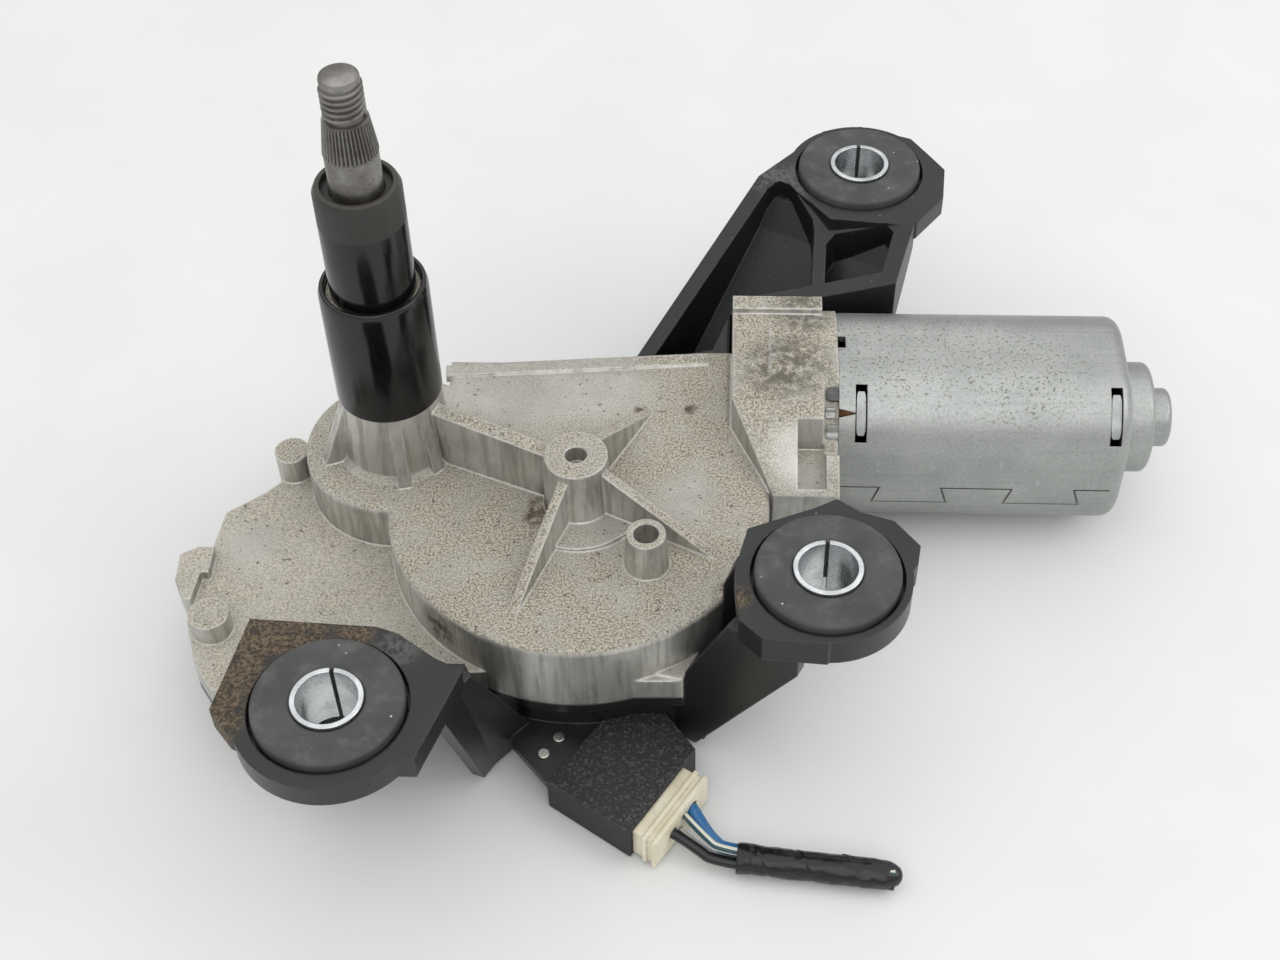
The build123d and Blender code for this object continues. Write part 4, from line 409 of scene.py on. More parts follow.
def moulded_finish(name, colour, roughness, grain=0.10, dust=0.3, soil=(), dusty=()):
    """Black moulding with fine grain, dust on top held back from recesses so that they stay dark as
    painted shade, scuffed edges, and soil where it is given.
    """
    recipe = new_finish(name)
    up = recipe.upward(0.55, 0.95)
    # The pale film is held back within 7 mm of inner corners, so recesses stay dark: painted shade.
    if dust:
        up = up * (1.0 - 0.9 * recipe.corners(7.0))
    film = recipe.noise(0.012, 4).between(0.30, 0.70)
    paler = tuple(part + 0.030 for part in colour)
    base = recipe.mix(up * film * dust, colour, paler)
    if dusty:
        powder = recipe.around(dusty) * up * recipe.noise(0.0012, 4, 0.6).between(0.36, 0.58)
        base = recipe.mix(powder * 0.6, base, (0.13, 0.128, 0.12))
    scuffs = recipe.edges(0.8) * recipe.noise(0.002, 3).between(0.35, 0.60)
    base = recipe.mix(scuffs * 0.25, base, (0.16, 0.16, 0.16))
    specks = recipe.dots(0.0042, 0.075) * (0.25 + 0.75 * up)
    base = recipe.mix(specks * dust, base, (0.45, 0.44, 0.42))
    rough = roughness + 0.10 * film * up
    height = recipe.noise(0.0007, 3, 0.6)
    if soil:
        fuzz = recipe.around(soil) * recipe.noise(0.0022, 6, 0.8).between(0.36, 0.50)
        clods = recipe.noise(0.0007, 5, 0.8)
        earth = recipe.mix(clods.between(0.40, 0.62), (0.045, 0.032, 0.020), (0.22, 0.165, 0.105))
        base = recipe.mix(fuzz * 0.95, base, earth)
        rough = rough + 0.45 * fuzz
        height = height + clods * fuzz * 6.0
    normal = recipe.bump(height, 0.5, grain, recipe.rounded(0.5))
    return recipe.finish(Base_Color=base, Roughness=rough.clamp(), Normal=normal)


def metal_finish(name, light, dark, roughness, specks=0.0, grime_and_shade=0.0):
    """Plain metal with a cloudy tone, fine lines, specks of dust, and inner corners darkened by
    soiling and painted shade.
    """
    recipe = new_finish(name)
    cloud = recipe.noise(0.006, 4)
    base = recipe.mix(cloud.between(0.32, 0.70), dark, light)
    lines = recipe.noise(0.0011, 3, 0.6)
    rough = roughness + 0.14 * cloud + 0.10 * lines
    if specks:
        spots = recipe.noise(0.0006, 3, 0.6).between(0.60, 0.70)
        base = recipe.mix(spots * specks, base, (0.10, 0.085, 0.065))
        rough = rough + 0.3 * spots
    if grime_and_shade:
        # Inner corners darkened, found by occlusion: soiling and painted shade.
        corner_dirt_and_shade = recipe.corners(0.9)
        base = recipe.mix(corner_dirt_and_shade * grime_and_shade, base, (0.035, 0.028, 0.020))
        rough = rough + 0.4 * corner_dirt_and_shade
    normal = recipe.bump(lines, 0.15, 0.08, recipe.rounded(0.15))
    return recipe.finish(Base_Color=base, Metallic=1.0, Roughness=rough.clamp(), Normal=normal)


def zinc_finish():
    """Zinc-plated can: even grey with fine grain, faint lines along it, dust on its rear top and
    painted shade in its inner corners.
    """
    recipe = new_finish("can zinc")
    cloud = recipe.noise(0.020, 3)
    base = recipe.mix(cloud.between(0.30, 0.72), (0.38, 0.395, 0.38), (0.49, 0.505, 0.485))
    grain = recipe.noise(0.00045, 3, 0.65)
    base = recipe.mix(grain.between(0.46, 0.64) * 0.30, base, (0.24, 0.25, 0.24))
    lines = recipe.noise(0.0010, 4, 0.6, stretch=(0.03, 1.0, 1.0))
    base = recipe.mix(lines.between(0.52, 0.66) * 0.20, base, (0.27, 0.28, 0.27))
    dusty = recipe.around((((96, 20, -8), 17), ((110, 22, -8), 22), ((130, 14, -10), 17)))
    specks = recipe.noise(0.00065, 3, 0.6).between(0.55, 0.66) * (0.18 + 0.82 * dusty)
    base = recipe.mix(specks * 0.7, base, (0.13, 0.125, 0.105))
    marks = recipe.noise(0.0016, 5, 0.7, stretch=(1.0, 0.3, 0.3)).between(0.60, 0.66) * 0.35
    base = recipe.mix(marks, base, (0.58, 0.59, 0.57))
    # Inner corners and slots darkened nearly to black, found by occlusion: painted shade.
    corner_dirt_and_shade = recipe.corners(0.8)
    base = recipe.mix(corner_dirt_and_shade * 0.7, base, (0.08, 0.08, 0.075))
    rough = 0.38 + 0.12 * cloud + 0.10 * grain + 0.30 * specks
    normal = recipe.bump(grain + lines, 0.20, 0.06, recipe.rounded(0.35))
    metallic = 1.0 - 0.6 * specks
    return recipe.finish(Base_Color=base, Metallic=metallic, Roughness=rough.clamp(), Normal=normal)


def gloss_finish(name, colour, roughness, scratches=0.3, dull_top=None):
    """Glossy moulding or insulation with faint scratches and, where given, a dull upper part."""
    recipe = new_finish(name)
    tone = recipe.noise(0.006, 3)
    paler = tuple(part * 1.5 + 0.004 for part in colour)
    base = recipe.mix(tone.between(0.35, 0.7) * 0.4, colour, paler)
    marks = recipe.noise(0.0022, 4, 0.7, stretch=(1.0, 1.0, 0.12)).between(0.60, 0.68) * scratches
    rough = roughness + 0.10 * tone + 0.30 * marks
    base = recipe.mix(marks * 0.25, base, (0.30, 0.29, 0.27))
    if dull_top is not None:
        height = recipe.node("ShaderNodeSeparateXYZ", {}, {0: recipe.place()}, output="Z")
        dull = height.between((dull_top - 0.3) * MM, (dull_top + 0.3) * MM)
        top = recipe.upward()
        base = recipe.mix(dull * 0.5 + top * 0.4, base, (0.055, 0.050, 0.042))
        rough = rough + 0.30 * dull
    normal = recipe.bump(recipe.noise(0.004, 2), 0.08, 0.2)
    return recipe.finish(Base_Color=base, Roughness=rough.clamp(), Normal=normal)


def rubber_finish():
    """Grommet rubber: grey and matte, with a dusty rim, scuffs and pale specks."""
    recipe = new_finish("grommet rubber")
    up = recipe.upward()
    tone = recipe.noise(0.010, 4)
    base = recipe.mix(tone.between(0.3, 0.7), (0.049, 0.050, 0.051), (0.079, 0.080, 0.081))
    film = recipe.noise(0.005, 5, 0.7).between(0.50, 0.68) * up
    base = recipe.mix(film * 0.35, base, (0.16, 0.155, 0.14))
    scuffs = recipe.edges(1.0) * recipe.noise(0.0016, 4, 0.7).between(0.45, 0.58)
    base = recipe.mix(scuffs * 0.6, base, (0.17, 0.165, 0.155))
    base = recipe.mix(recipe.dots(0.0038, 0.07) * up, base, (0.62, 0.61, 0.58))
    normal = recipe.bump(recipe.noise(0.0009, 4, 0.6), 0.25, 0.15, recipe.rounded(0.3))
    return recipe.finish(Base_Color=base, Roughness=0.55 + 0.2 * tone, Normal=normal)


def connector_finish():
    """Spark-eroded moulding: coarse sparkling grain on its flat faces, with painted glints that are
    stronger on upward faces.
    """
    recipe = new_finish("connector moulding")
    up = recipe.upward()
    grain = recipe.noise(0.00055, 2, 0.5)
    # Pale flecks of the eroded grain, with painted glints that grow on upward faces.
    grain_and_glint = grain.between(0.52, 0.66) * (0.15 + 0.6 * up)
    base = recipe.mix(grain_and_glint, (0.014, 0.014, 0.015), (0.085, 0.085, 0.082))
    scuffs = recipe.edges(0.7) * recipe.noise(0.002, 3).between(0.35, 0.60)
    base = recipe.mix(scuffs * 0.40, base, (0.18, 0.18, 0.17))
    base = recipe.mix(recipe.cracks(0.009, 0.012) * 0.10, base, (0.20, 0.20, 0.19))
    normal = recipe.bump(grain, 0.7, 0.14, recipe.rounded(0.4))
    return recipe.finish(Base_Color=base, Roughness=0.50 + 0.15 * grain, Normal=normal)


def cream_finish():
    """Cream plug soiled along fine lines and with crumbs, its corners, groove and gaps to nearby
    parts darkened by soiling and painted shade.
    """
    recipe = new_finish("cream plug")
    tone = recipe.noise(0.005, 3)
    base = recipe.mix(tone.between(0.3, 0.7), (0.74, 0.67, 0.49), (0.85, 0.81, 0.66))
    lines = recipe.cracks(0.0042, 0.022) * recipe.noise(0.004, 3).between(0.48, 0.62)
    # Corners and gaps to nearby parts, found by occlusion: soiling and painted shade.
    corner_dirt_and_shade = recipe.corners(1.6, alone=False) * recipe.noise(0.0012, 4, 0.7).between(0.32, 0.60)
    crumbs = recipe.noise(0.0009, 4, 0.7).between(0.64, 0.70)
    dirt_and_shade = (0.40 * lines + 0.75 * corner_dirt_and_shade + 0.5 * crumbs).clamp()
    base = recipe.mix(dirt_and_shade * 0.55, base, (0.22, 0.14, 0.065))
    # Edges paler all along: rubbed wear and painted highlight.
    worn_and_highlit = recipe.edges(0.8) * 0.35
    base = recipe.mix(worn_and_highlit, base, (0.84, 0.80, 0.68))
    normal = recipe.bump(recipe.noise(0.0009, 3), 0.2, 0.12, recipe.rounded(0.4))
    return recipe.finish(Base_Color=base, Roughness=(0.40 + 0.3 * dirt_and_shade).clamp(), Normal=normal)


def striped_finish():
    """White insulation with a dark blue-green stripe along it, from the cord's own UV map."""
    recipe = new_finish("white wire")
    place = recipe.node("ShaderNodeTexCoord", output="UV")
    across = recipe.node("ShaderNodeSeparateXYZ", {}, {0: place}, output="Y")
    stripe = (across - 0.30).math("ABSOLUTE").between(0.08, 0.10)
    tone = recipe.noise(0.003, 3)
    base = recipe.mix(stripe, (0.012, 0.060, 0.075), (0.74, 0.75, 0.66))
    base = recipe.mix(tone.between(0.50, 0.75) * 0.25, base, (0.40, 0.38, 0.30))
    return recipe.finish(Base_Color=base, Roughness=0.28 + 0.15 * tone)


def tape_finish():
    """Glossy wound tape with fine wrinkles."""
    recipe = new_finish("black tape")
    tone = recipe.noise(0.005, 3)
    wrinkles = recipe.noise(0.0035, 4, 0.5, stretch=(0.45, 1.2, 1.2))
    base = recipe.mix(tone.between(0.4, 0.7) * 0.4, (0.006, 0.006, 0.007), (0.020, 0.020, 0.021))
    dust = recipe.dots(0.0045, 0.05) * 0.6
    base = recipe.mix(dust, base, (0.35, 0.34, 0.32))
    normal = recipe.bump(wrinkles, 0.6, 0.5)
    return recipe.finish(Base_Color=base, Roughness=(0.16 + 0.20 * tone).clamp(), Normal=normal)


# Pieces

THREAD_R = 3.95
THREAD_FOOT_Z = 63.8
THREAD_TOP_Z = 71.4
CONE_FOOT_Z = 56.6


class WiperMotorSettings(bpy.types.PropertyGroup):
    """Sizes and colours that a user would change."""

    casting_light: bpy.props.FloatVectorProperty(
        name="Casting", description="Clean alloy", subtype="COLOR", default=(0.66, 0.655, 0.62)
    )
    casting_dark: bpy.props.FloatVectorProperty(
        name="Casting, dull", description="Dull alloy", subtype="COLOR", default=(0.46, 0.45, 0.42)
    )
    casting_streak: bpy.props.FloatVectorProperty(
        name="Casting, streaks", description="Dark streaks on the walls", subtype="COLOR",
        default=(0.22, 0.21, 0.18)
    )
    # Colour of rubbed edges, also used for the painted highlights along the inner fillets and for a
    # bright patch on the flange.
    casting_highlight_and_wear: bpy.props.FloatVectorProperty(
        name="Casting, worn", description="Bright worn edges", subtype="COLOR",
        default=(0.88, 0.87, 0.83)
    )
    dust_light: bpy.props.FloatVectorProperty(
        name="Dust", description="Pale grains of dust", subtype="COLOR", default=(0.58, 0.535, 0.43)
    )
    dust_dark: bpy.props.FloatVectorProperty(
        name="Dust, dark", description="Dark grains of dust", subtype="COLOR",
        default=(0.17, 0.145, 0.105)
    )
    moulding_black: bpy.props.FloatVectorProperty(
        name="Moulding", description="Black nylon", subtype="COLOR", default=(0.010, 0.0105, 0.011)
    )
    wire_blue: bpy.props.FloatVectorProperty(
        name="Blue wire", description="Insulation", subtype="COLOR", default=(0.03, 0.14, 0.33)
    )
    thread_pitch: bpy.props.FloatProperty(
        name="Thread pitch", description="Rise of the spindle's thread in one turn, in mm",
        default=1.25, min=0.5, max=2.0
    )
    thread_depth: bpy.props.FloatProperty(
        name="Thread depth", description="Depth of the spindle's thread, in mm",
        default=0.62, min=0.2, max=1.0
    )
    serrations: bpy.props.IntProperty(
        name="Serrations", description="Number of teeth on the spindle's cone",
        default=40, min=12, max=80
    )
    key_power: bpy.props.FloatProperty(
        name="Key light", description="Power of the large lamp, in watts", default=1.8, min=0.0
    )
    fill_power: bpy.props.FloatProperty(
        name="Fill light", description="Power of the side lamps, in watts", default=1.2, min=0.0
    )
    world_level: bpy.props.FloatProperty(
        name="World", description="Level of the light from all round", default=0.80, min=0.0
    )


class WIPER_OT_casting(bpy.types.Operator):
    """Finishes the die-cast gear case"""

    bl_idname = "wiper.casting"
    bl_label = "Gear case"

    def execute(self, context):
        paint(["gear_housing"], casting_finish())
        return {"FINISHED"}


class WIPER_OT_cover(bpy.types.Operator):
    """Finishes the black moulding with its arms and ears, and its screws"""

    bl_idname = "wiper.cover"
    bl_label = "Moulded cover"

    def execute(self, context):
        soil = (
            ((-17, -64, -3), 10), ((-19, -73, -4), 9), ((-19, -82, -4), 7), ((-8, -62.5, -3), 8),
            ((2, -62.5, -3), 5), ((70.5, -53, -3), 3.5),
        )
        dusty = (((82, 67, -3), 8), ((76, 68, -3), 5), ((10, -66, -3), 6))
        black = tuple(settings().moulding_black)
        moulding = moulded_finish("cover moulding", black, 0.34, soil=soil, dusty=dusty)
        paint(["cover_bracket"], moulding)
        screw_steel = metal_finish("screw steel", (0.50, 0.50, 0.50), (0.30, 0.30, 0.30), 0.25)
        soften("cover_screws", screw_steel, 0.2)
        return {"FINISHED"}


class WIPER_OT_collars(bpy.types.Operator):
    """Finishes the two glossy collars and the spindle's seal"""

    bl_idname = "wiper.collars"
    bl_label = "Collars"

    def execute(self, context):
        lower = gloss_finish("lower collar moulding", (0.004, 0.004, 0.005), 0.10)
        soften("lower_collar", lower, 0.4, 3)
        upper = gloss_finish("upper collar moulding", (0.004, 0.004, 0.005), 0.12, dull_top=41.5)
        soften("upper_collar", upper, 0.6, 3)
        soften("spindle_seal", moulded_finish("seal rubber", (0.030, 0.027, 0.022), 0.5), 0.3)
        return {"FINISHED"}


def thread_ridge(look):
    """Helical ridge of the spindle's thread."""
    pitch = look.thread_pitch
    root = THREAD_R - look.thread_depth
    turns = (THREAD_TOP_Z - THREAD_FOOT_Z - pitch) / pitch
    steps = int(turns * 40)
    half = pitch * 0.46
    crest = pitch * 0.10
    corners = [(root - 0.15, -half), (THREAD_R, -crest), (THREAD_R, crest), (root - 0.15, half)]
    foot = THREAD_FOOT_Z + half
    work = bmesh.new()
    points = [work.verts.new((radius, 0, height + foot)) for radius, height in corners]
    face = work.faces.new(points)
    bmesh.ops.spin(
        work,
        geom=[face],
        angle=2 * math.pi * turns,
        steps=steps,
        axis=(0, 0, 1),
        cent=(0, 0, 0),
        dvec=(0, 0, turns * pitch / steps),
        use_merge=False,
        use_duplicate=False,
    )
    bmesh.ops.recalc_face_normals(work, faces=work.faces)
    return work


def serrated_cone(look):
    """Cone of the spindle with fine upright teeth."""
    teeth = look.serrations
    work = bmesh.new()
    bmesh.ops.create_cone(
        work,
        cap_ends=True,
        segments=6 * teeth,
        radius1=5.2,
        radius2=4.3,
        depth=THREAD_FOOT_Z - CONE_FOOT_Z,
        matrix=Matrix.Translation((0, 0, (THREAD_FOOT_Z + CONE_FOOT_Z) / 2)),
    )
    for corner in work.verts:
        phase = math.atan2(corner.co.y, corner.co.x) * teeth
        depth = 0.085 * ((1 - math.cos(phase)) / 2) ** 1.5 + 0.008
        corner.co.x *= 1 - depth
        corner.co.y *= 1 - depth
    return work


class WIPER_OT_spindle(bpy.types.Operator):
    """Makes the output spindle with its thread and serrated cone"""

    bl_idname = "wiper.spindle"
    bl_label = "Output spindle"

    def execute(self, context):
        look = settings()
        root = THREAD_R - look.thread_depth
        profile = [
            (0, -44.1), (4, -44.1), (4, -43.2), (3.2, -43.2), (3.2, -42.4), (4, -42.4),
            (4, -34.4), (5, -34.4), (5, CONE_FOOT_Z - 0.6), (4.8, CONE_FOOT_Z - 0.2),
            (4.70, CONE_FOOT_Z + 0.3), (3.92, THREAD_FOOT_Z - 0.3),
            (3.92, THREAD_FOOT_Z + 0.05), (root, THREAD_FOOT_Z + 0.1),
            (root, THREAD_TOP_Z - 0.3), (3.65, THREAD_TOP_Z - 0.1), (3.65, 72.2),
            (3.50, 72.65), (3.1, 72.9), (2.6, 73.0), (0, 73.0),
        ]
        work = spun(profile, 96)
        for extra in (thread_ridge(look), serrated_cone(look)):
            part = bpy.data.meshes.new("spindle part")
            extra.to_mesh(part)
            extra.free()
            work.from_mesh(part)
            bpy.data.meshes.remove(part)
        bmesh.ops.scale(work, vec=(MM, MM, MM), verts=work.verts)
        steel = metal_finish(
            "spindle steel", (0.35, 0.34, 0.315), (0.18, 0.17, 0.155), 0.32, specks=0.45, grime_and_shade=0.5
        )
        mesh = mesh_of(work, "spindle_turned", steel, 28)
        link("spindle_turned", mesh, "output_spindle", replaces=("output_spindle",))
        return {"FINISHED"}


# Axis of the can's front top corner, in which the tabs are bent, and their inner radius
CORNER = Vector((0, 14.5, -23.0))
TAB_FOOT_R = 12.5
TAB_DENT = 0.28


def bent_tab(start_x, end_x, middle, half, outer):
    """Sheet tab bent round the can's corner, with narrow ends and a dent in its middle."""
    out = Matrix.Rotation(math.radians(45 - middle + half), 3, "X") @ Vector((0, 0, 1))
    work = bmesh.new()
    section = ((start_x, TAB_FOOT_R), (end_x, TAB_FOOT_R), (end_x, outer), (start_x, outer))
    corners = [
        work.verts.new(CORNER + out * radius + Vector((place_x, 0, 0)))
        for place_x, radius in section
    ]
    face = work.faces.new(corners)
    bmesh.ops.spin(
        work,
        geom=[face],
        angle=math.radians(-2 * half),
        steps=14,
        axis=(1, 0, 0),
        cent=CORNER,
        use_merge=False,
        use_duplicate=False,
    )
    bmesh.ops.recalc_face_normals(work, faces=work.faces)
    centre_x = (start_x + end_x) / 2
    for corner in work.verts:
        reach = Vector((0, *(corner.co - CORNER).yz))
        share = (math.degrees(math.atan2(-reach.y, reach.z)) - 45 + middle) / half
        corner.co.x = centre_x + (corner.co.x - centre_x) * (1 - 0.35 * min(abs(share), 1.0) ** 6)
        if reach.length > TAB_FOOT_R + 0.1:
            corner.co -= reach.normalized() * TAB_DENT * math.exp(-((share / 0.45) ** 2))
    bmesh.ops.scale(work, vec=(MM, MM, MM), verts=work.verts)
    return work


class WIPER_OT_can(bpy.types.Operator):
    """Finishes the motor's can and makes its tabs"""

    bl_idname = "wiper.can"
    bl_label = "Motor can"

    def execute(self, context):
        paint(["motor_can"], zinc_finish())
        bare = metal_finish(
            "tab steel", (0.50, 0.52, 0.50), (0.34, 0.35, 0.34), 0.34, specks=0.35, grime_and_shade=0.3
        )
        # Darker copy of the tab steel, for the upper rim tongue only: painted shade.
        dull = metal_finish(
            "shaded tab steel", (0.16, 0.16, 0.155), (0.09, 0.09, 0.085), 0.42, specks=0.4
        )
        tabs = (
            ("front_slot_tab", 94.55, 96.65, 0, 20, 13.65, bare),
            ("rear_slot_tab", 146.6, 148.8, 0, 20, 13.6, bare),
            ("upper_rim_tongue", 88.4, 92.9, 17, 6.5, 13.75, dull),
            ("lower_rim_tongue", 88.4, 92.9, -17, 6.5, 13.75, bare),
            ("notch_tongue", 88.2, 90.4, 0, 5, 13.1, bare),
        )
        for name, start_x, end_x, middle, half, outer, material in tabs:
            tab = mesh_of(bent_tab(start_x, end_x, middle, half, outer), name, material)
            round_edges(link(name, tab, "motor_can"), 0.18)
        return {"FINISHED"}


class WIPER_OT_ears(bpy.types.Operator):
    """Finishes the grommets and steel sleeves of the three ears"""

    bl_idname = "wiper.ears"
    bl_label = "Ears"

    def execute(self, context):
        rubber = rubber_finish()
        steel = metal_finish(
            "sleeve steel", (0.74, 0.76, 0.77), (0.46, 0.48, 0.49), 0.16, specks=0.25
        )
        for side in ("left", "right", "rear"):
            soften(f"grommet_{side}", rubber, 0.5, 3)
            soften(f"sleeve_{side}", steel, 0.25, 2)
        return {"FINISHED"}


class WIPER_OT_connector(bpy.types.Operator):
    """Finishes the connector, its plug, pins and rivets"""

    bl_idname = "wiper.connector"
    bl_label = "Connector"

    def execute(self, context):
        soften("connector_housing", connector_finish(), 0.3)
        soften("plug", cream_finish(), 0.4, 3)
        rivet_steel = metal_finish("rivet steel", (0.70, 0.70, 0.66), (0.40, 0.39, 0.35), 0.2)
        soften("terminal_rivets", rivet_steel, 0.2)
        pin_brass = metal_finish("pin brass", (0.72, 0.55, 0.25), (0.50, 0.36, 0.16), 0.25)
        paint(["connector_pins"], pin_brass)
        return {"FINISHED"}


# Routes of the wires, in millimetres, as in the part's source, with each wire's radius and length
WIRES = {
    "wire_black": (
        1.05,
        43.35,
        [
            (58.87, -75.85, -45.4),
            (63.0, -78.2, -46.2),
            (67.3, -80.8, -48.2),
            (100.4, -84.23, -48.2),
        ],
    ),
    "wire_white_upper": (
        0.75,
        42.79,
        [
            (60.97, -72.51, -44.6),
            (64.3, -76.8, -44.2),
            (68.45, -80.04, -45.6),
            (100.4, -83.35, -45.6),
        ],
    ),
    "wire_white_lower": (
        0.75,
        42.28,
        [
            (60.01, -74.03, -47.4),
            (64.2, -77.2, -48.4),
            (68.6, -79.44, -49.4),
            (100.4, -82.73, -49.4),
        ],
    ),
    "wire_blue": (
        1.25,
        42.3,
        [
            (62.33, -70.35, -45.2),
            (64.2, -73.7, -45.4),
            (66.3, -76.4, -46.6),
            (69.3, -78.28, -47.7),
            (100.4, -81.49, -47.7),
        ],
    ),
}
TAPE_START = Vector((71.0, -79.8, -47.3))
TAPE_END = Vector((102.0, -83.0, -47.3))
TAPE_R = 3.2
TAPE_PITCH = 8.5


def wire_curve(name, radius, route):
    """Smooth cord along a route's points."""
    curve = bpy.data.curves.new(name, "CURVE")
    curve.dimensions = "3D"
    curve.bevel_depth = radius * MM
    curve.bevel_resolution = 5
    curve.resolution_u = 12
    curve.use_fill_caps = True
    line = curve.splines.new("NURBS")
    line.points.add(len(route) - 1)
    for point, place in zip(line.points, route):
        point.co = (*[part * MM for part in place], 1.0)
    line.order_u = 3
    line.use_endpoint_u = True
    return curve


def tape_mesh():
    """Wound tape: slanting overlaps, a thick first turn and a blunt, squeezed end."""
    length = (TAPE_END - TAPE_START).length
    rows = 100
    profile = [(0.0, 0.25), (2.3, 0.0), (TAPE_R - 0.12, 0.05)]
    for row in range(rows + 1):
        profile.append((TAPE_R, 0.3 + (length - 3.6) * row / rows))
    profile += [
        (TAPE_R - 0.35, length - 2.4), (TAPE_R - 0.8, length - 1.4), (TAPE_R - 1.3, length - 0.6),
        (TAPE_R - 2.0, length - 0.15), (0.0, length),
    ]
    work = spun(profile, 80)
    for corner in work.verts:
        radius = math.hypot(corner.co.x, corner.co.y)
        if radius < 1.0:
            continue
        turn = math.atan2(corner.co.y, corner.co.x) / (2 * math.pi)
        phase = (corner.co.z / TAPE_PITCH - turn) % 1.0
        ledge = 0.0 if corner.co.z < 2.6 else -0.16
        lumps = noise.noise(corner.co * 0.28) * 0.22 + noise.noise(corner.co * 0.9) * 0.07
        step = ledge - 0.17 * phase - 0.10 + min(lumps, 0.10)
        factor = 1 + step / radius
        corner.co.x *= factor
        corner.co.y *= factor
    axis = TAPE_END - TAPE_START
    turn = Vector((0, 0, 1)).rotation_difference(axis).to_matrix().to_4x4()
    bmesh.ops.transform(work, matrix=Matrix.Translation(TAPE_START) @ turn, verts=work.verts)
    bmesh.ops.scale(work, vec=(MM, MM, MM), verts=work.verts)
    return mesh_of(work, "tape_wound", tape_finish(), 50)


class WIPER_OT_wires(bpy.types.Operator):
    """Makes the four wires and the tape that binds them"""

    bl_idname = "wiper.wires"
    bl_label = "Wires"

    def execute(self, context):
        looks = {
            "wire_black": gloss_finish("black wire", (0.006, 0.006, 0.007), 0.20),
            "wire_white_upper": striped_finish(),
            "wire_blue": gloss_finish("blue wire", tuple(settings().wire_blue), 0.22),
        }
        looks["wire_white_lower"] = looks["wire_white_upper"]
        tape = link("tape_wound", tape_mesh(), "tape_wrap", replaces=("tape_wrap",))
        for name, (radius, length, route) in WIRES.items():
            curve = wire_curve(name + "_cord", radius, route)
            curve.materials.append(looks[name])
            piece = link(name + "_cord", curve, name, replaces=(name,))
        return {"FINISHED"}


class WIPER_OT_drive(bpy.types.Operator):
    """Finishes the gears, linkage and contacts inside the case"""

    bl_idname = "wiper.drive"
    bl_label = "Drive"

    def execute(self, context):
        acetal = moulded_finish("gear acetal", (0.62, 0.60, 0.53), 0.32, grain=0.05, dust=0.0)
        paint(["worm_wheel", "thrust_pad"], acetal)
        turned = metal_finish("turned steel", (0.62, 0.62, 0.62), (0.42, 0.42, 0.42), 0.22)
        paint(["armature_shaft", "spindle_pinion", "sector_rod"], turned)
        paint(["sector_pin", "crank_pin", "wheel_axle"], turned)
        sheet = metal_finish("sheet steel", (0.60, 0.60, 0.61), (0.44, 0.44, 0.45), 0.28)
        paint(["link_plate", "spindle_clip", "spindle_washer"], sheet)
        paint(["axle_clip", "wheel_washer", "thrust_screw"], sheet)
        brass = metal_finish("contact brass", (0.75, 0.58, 0.28), (0.55, 0.40, 0.18), 0.24)
        paint(["park_ring", "contact_fingers"], brass)
        board = moulded_finish("contact board", (0.10, 0.07, 0.04), 0.45, dust=0.0)
        paint(["contact_plate"], board)
        bronze = metal_finish("bush bronze", (0.50, 0.36, 0.20), (0.33, 0.23, 0.13), 0.40)
        paint(["spindle_bush_upper", "spindle_bush_lower", "tail_bush"], bronze)
        paint(["front_bearing", "rear_bearing"], bronze)
        return {"FINISHED"}


class WIPER_OT_armature(bpy.types.Operator):
    """Finishes the electric motor's inner pieces"""

    bl_idname = "wiper.armature"
    bl_label = "Armature"

    def execute(self, context):
        laminations = metal_finish(
            "core laminations", (0.40, 0.40, 0.41), (0.26, 0.26, 0.27), 0.35
        )
        paint(["armature_core"], laminations)
        enamelled = metal_finish("enamelled copper", (0.58, 0.24, 0.10), (0.38, 0.14, 0.06), 0.25)
        paint(["armature_windings"], enamelled)
        copper = metal_finish("commutator copper", (0.70, 0.36, 0.20), (0.48, 0.22, 0.12), 0.22)
        paint(["commutator"], copper)
        paint(["magnets"], moulded_finish("ferrite", (0.035, 0.035, 0.038), 0.6, dust=0.0))
        paint(["brushes"], moulded_finish("carbon", (0.025, 0.025, 0.025), 0.55, dust=0.0))
        paint(["brush_plate"], moulded_finish("brush board", (0.16, 0.10, 0.05), 0.45, dust=0.0))
        spring = metal_finish("spring steel", (0.55, 0.55, 0.56), (0.35, 0.35, 0.36), 0.25)
        paint(["brush_springs", "magnet_clips", "bearing_retainer"], spring)
        return {"FINISHED"}


# Camera: angles in degrees, place in metres, and the focal length in pixels of the image's width
SENSOR_WIDTH = 36.0
IMAGE_WIDTH = 1280.0
FOCAL_PIXELS = 1855.0
CAMERA_PLACE = (0.0656, -0.26357, 0.25982)
CAMERA_TURN = 3.4
CAMERA_DOWN = 47.6
CAMERA_ROLL = -1.6
LAMP_TARGET = (0.05, 0.0, -0.01)


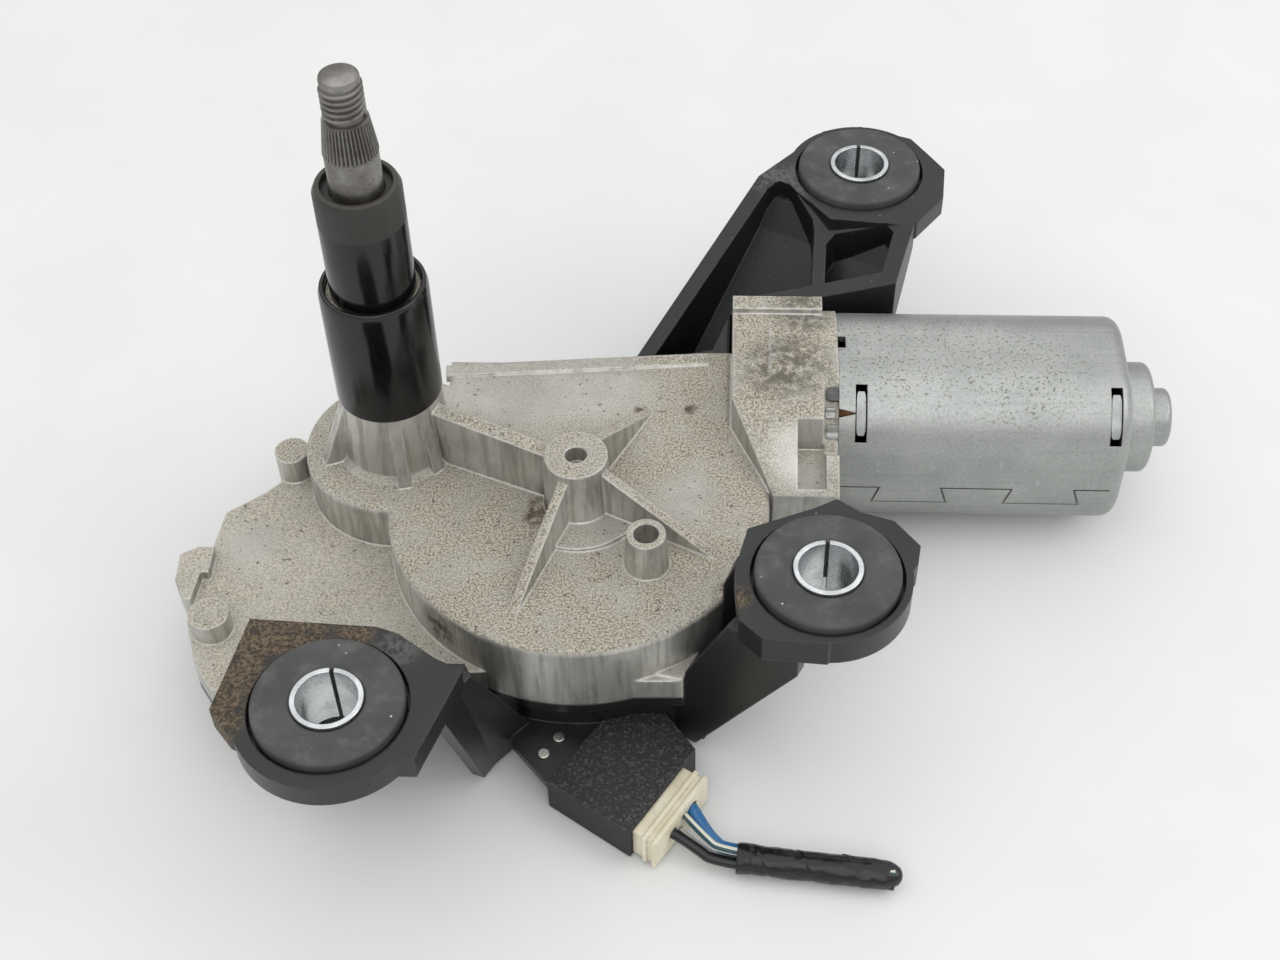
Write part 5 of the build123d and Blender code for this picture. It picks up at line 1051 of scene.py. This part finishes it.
class WIPER_OT_stage(bpy.types.Operator):
    """Makes the camera, floor, lamps and world"""

    bl_idname = "wiper.stage"
    bl_label = "Studio"

    def execute(self, context):
        look = settings()
        camera = bpy.data.cameras.new("photo")
        camera.sensor_width = SENSOR_WIDTH
        camera.lens = SENSOR_WIDTH * FOCAL_PIXELS / IMAGE_WIDTH
        camera.clip_start = 0.01
        stand = bpy.data.objects.new("photo", camera)
        turn = Matrix.Rotation(math.radians(CAMERA_TURN), 4, "Z")
        tilt = Matrix.Rotation(math.radians(90 - CAMERA_DOWN), 4, "X")
        roll = Matrix.Rotation(math.radians(CAMERA_ROLL), 4, "Z")
        stand.matrix_world = Matrix.Translation(CAMERA_PLACE) @ turn @ tilt @ roll
        context.scene.collection.objects.link(stand)
        context.scene.camera = stand
        work = bmesh.new()
        bmesh.ops.create_grid(work, x_segments=1, y_segments=1, size=3.0)
        bmesh.ops.translate(work, vec=(0, 0, CAD_BOX[0][2]), verts=work.verts)
        paper = new_finish("floor paper")
        tone = paper.noise(0.05, 3)
        shade = paper.mix(tone.between(0.3, 0.7), (0.835, 0.845, 0.835), (0.865, 0.872, 0.862))
        floor_material = paper.finish(Base_Color=shade, Roughness=0.85 + 0.1 * tone)
        floor = bpy.data.objects.new("floor", mesh_of(work, "floor", floor_material))
        context.scene.collection.objects.link(floor)
        lamps = (
            ("key", (0.02, 0.12, 0.90), 1.60, look.key_power),
            ("front", (0.05, -0.75, 0.72), 0.75, look.fill_power),
            ("side", (0.80, -0.10, 0.50), 0.50, look.fill_power),
        )
        target = Vector(LAMP_TARGET)
        for name, place, size, power in lamps:
            lamp = bpy.data.lights.new(name, "AREA")
            lamp.shape = "DISK"
            lamp.size = size
            lamp.energy = power
            holder = bpy.data.objects.new(name, lamp)
            holder.location = place
            holder.rotation_euler = (target - Vector(place)).to_track_quat("-Z", "Y").to_euler()
            context.scene.collection.objects.link(holder)
        world = bpy.data.worlds.new("studio")
        room = Recipe(world, "ShaderNodeOutputWorld")
        direction = room.node("ShaderNodeTexCoord", output="Generated")
        height = room.node("ShaderNodeSeparateXYZ", {}, {0: direction}, output="Z")
        sky = 0.35 + 0.65 * height.between(-0.1, 0.75)
        seen = room.node("ShaderNodeLightPath", output="Is Camera Ray")
        mirrored = room.node("ShaderNodeLightPath", output="Is Glossy Ray")
        mirrored = mirrored + room.node("ShaderNodeLightPath", output="Is Transmission Ray")
        level = seen + mirrored * sky + (1.0 - seen - mirrored) * look.world_level
        white = (1.0, 1.0, 1.0, 1.0)
        background = room.node("ShaderNodeBackground", {}, {"Color": white, "Strength": level})
        room.tree.links.new(background.socket, room.output.inputs["Surface"])
        context.scene.world = world
        context.scene.view_settings.view_transform = "Standard"
        return {"FINISHED"}


STEPS = (
    WIPER_OT_stage,
    WIPER_OT_wires,
    WIPER_OT_casting,
    WIPER_OT_cover,
    WIPER_OT_collars,
    WIPER_OT_spindle,
    WIPER_OT_can,
    WIPER_OT_ears,
    WIPER_OT_connector,
    WIPER_OT_drive,
    WIPER_OT_armature,
)


class WIPER_PT_panel(bpy.types.Panel):
    """Lists the steps in the sidebar"""

    bl_label = "Wiper motor"
    bl_idname = "WIPER_PT_panel"
    bl_space_type = "VIEW_3D"
    bl_region_type = "UI"
    bl_category = "Wiper motor"

    def draw(self, context):
        look = context.scene.wiper_motor
        for name in look.bl_rna.properties.keys():
            if name not in ("rna_type", "name"):
                self.layout.prop(look, name)
        for step in STEPS:
            self.layout.operator(step.bl_idname)


CLASSES = (WiperMotorSettings, *STEPS, WIPER_PT_panel)


def register():
    """Adds the classes and the scene's settings."""
    for part in CLASSES:
        bpy.utils.register_class(part)
    bpy.types.Scene.wiper_motor = bpy.props.PointerProperty(type=WiperMotorSettings)


def unregister():
    """Takes the settings and classes away."""
    del bpy.types.Scene.wiper_motor
    for part in reversed(CLASSES):
        bpy.utils.unregister_class(part)


def main():
    """Makes every piece."""
    register()
    for step in STEPS:
        family, name = step.bl_idname.split(".")
        getattr(getattr(bpy.ops, family), name)()


if __name__ == "__main__":
    main()
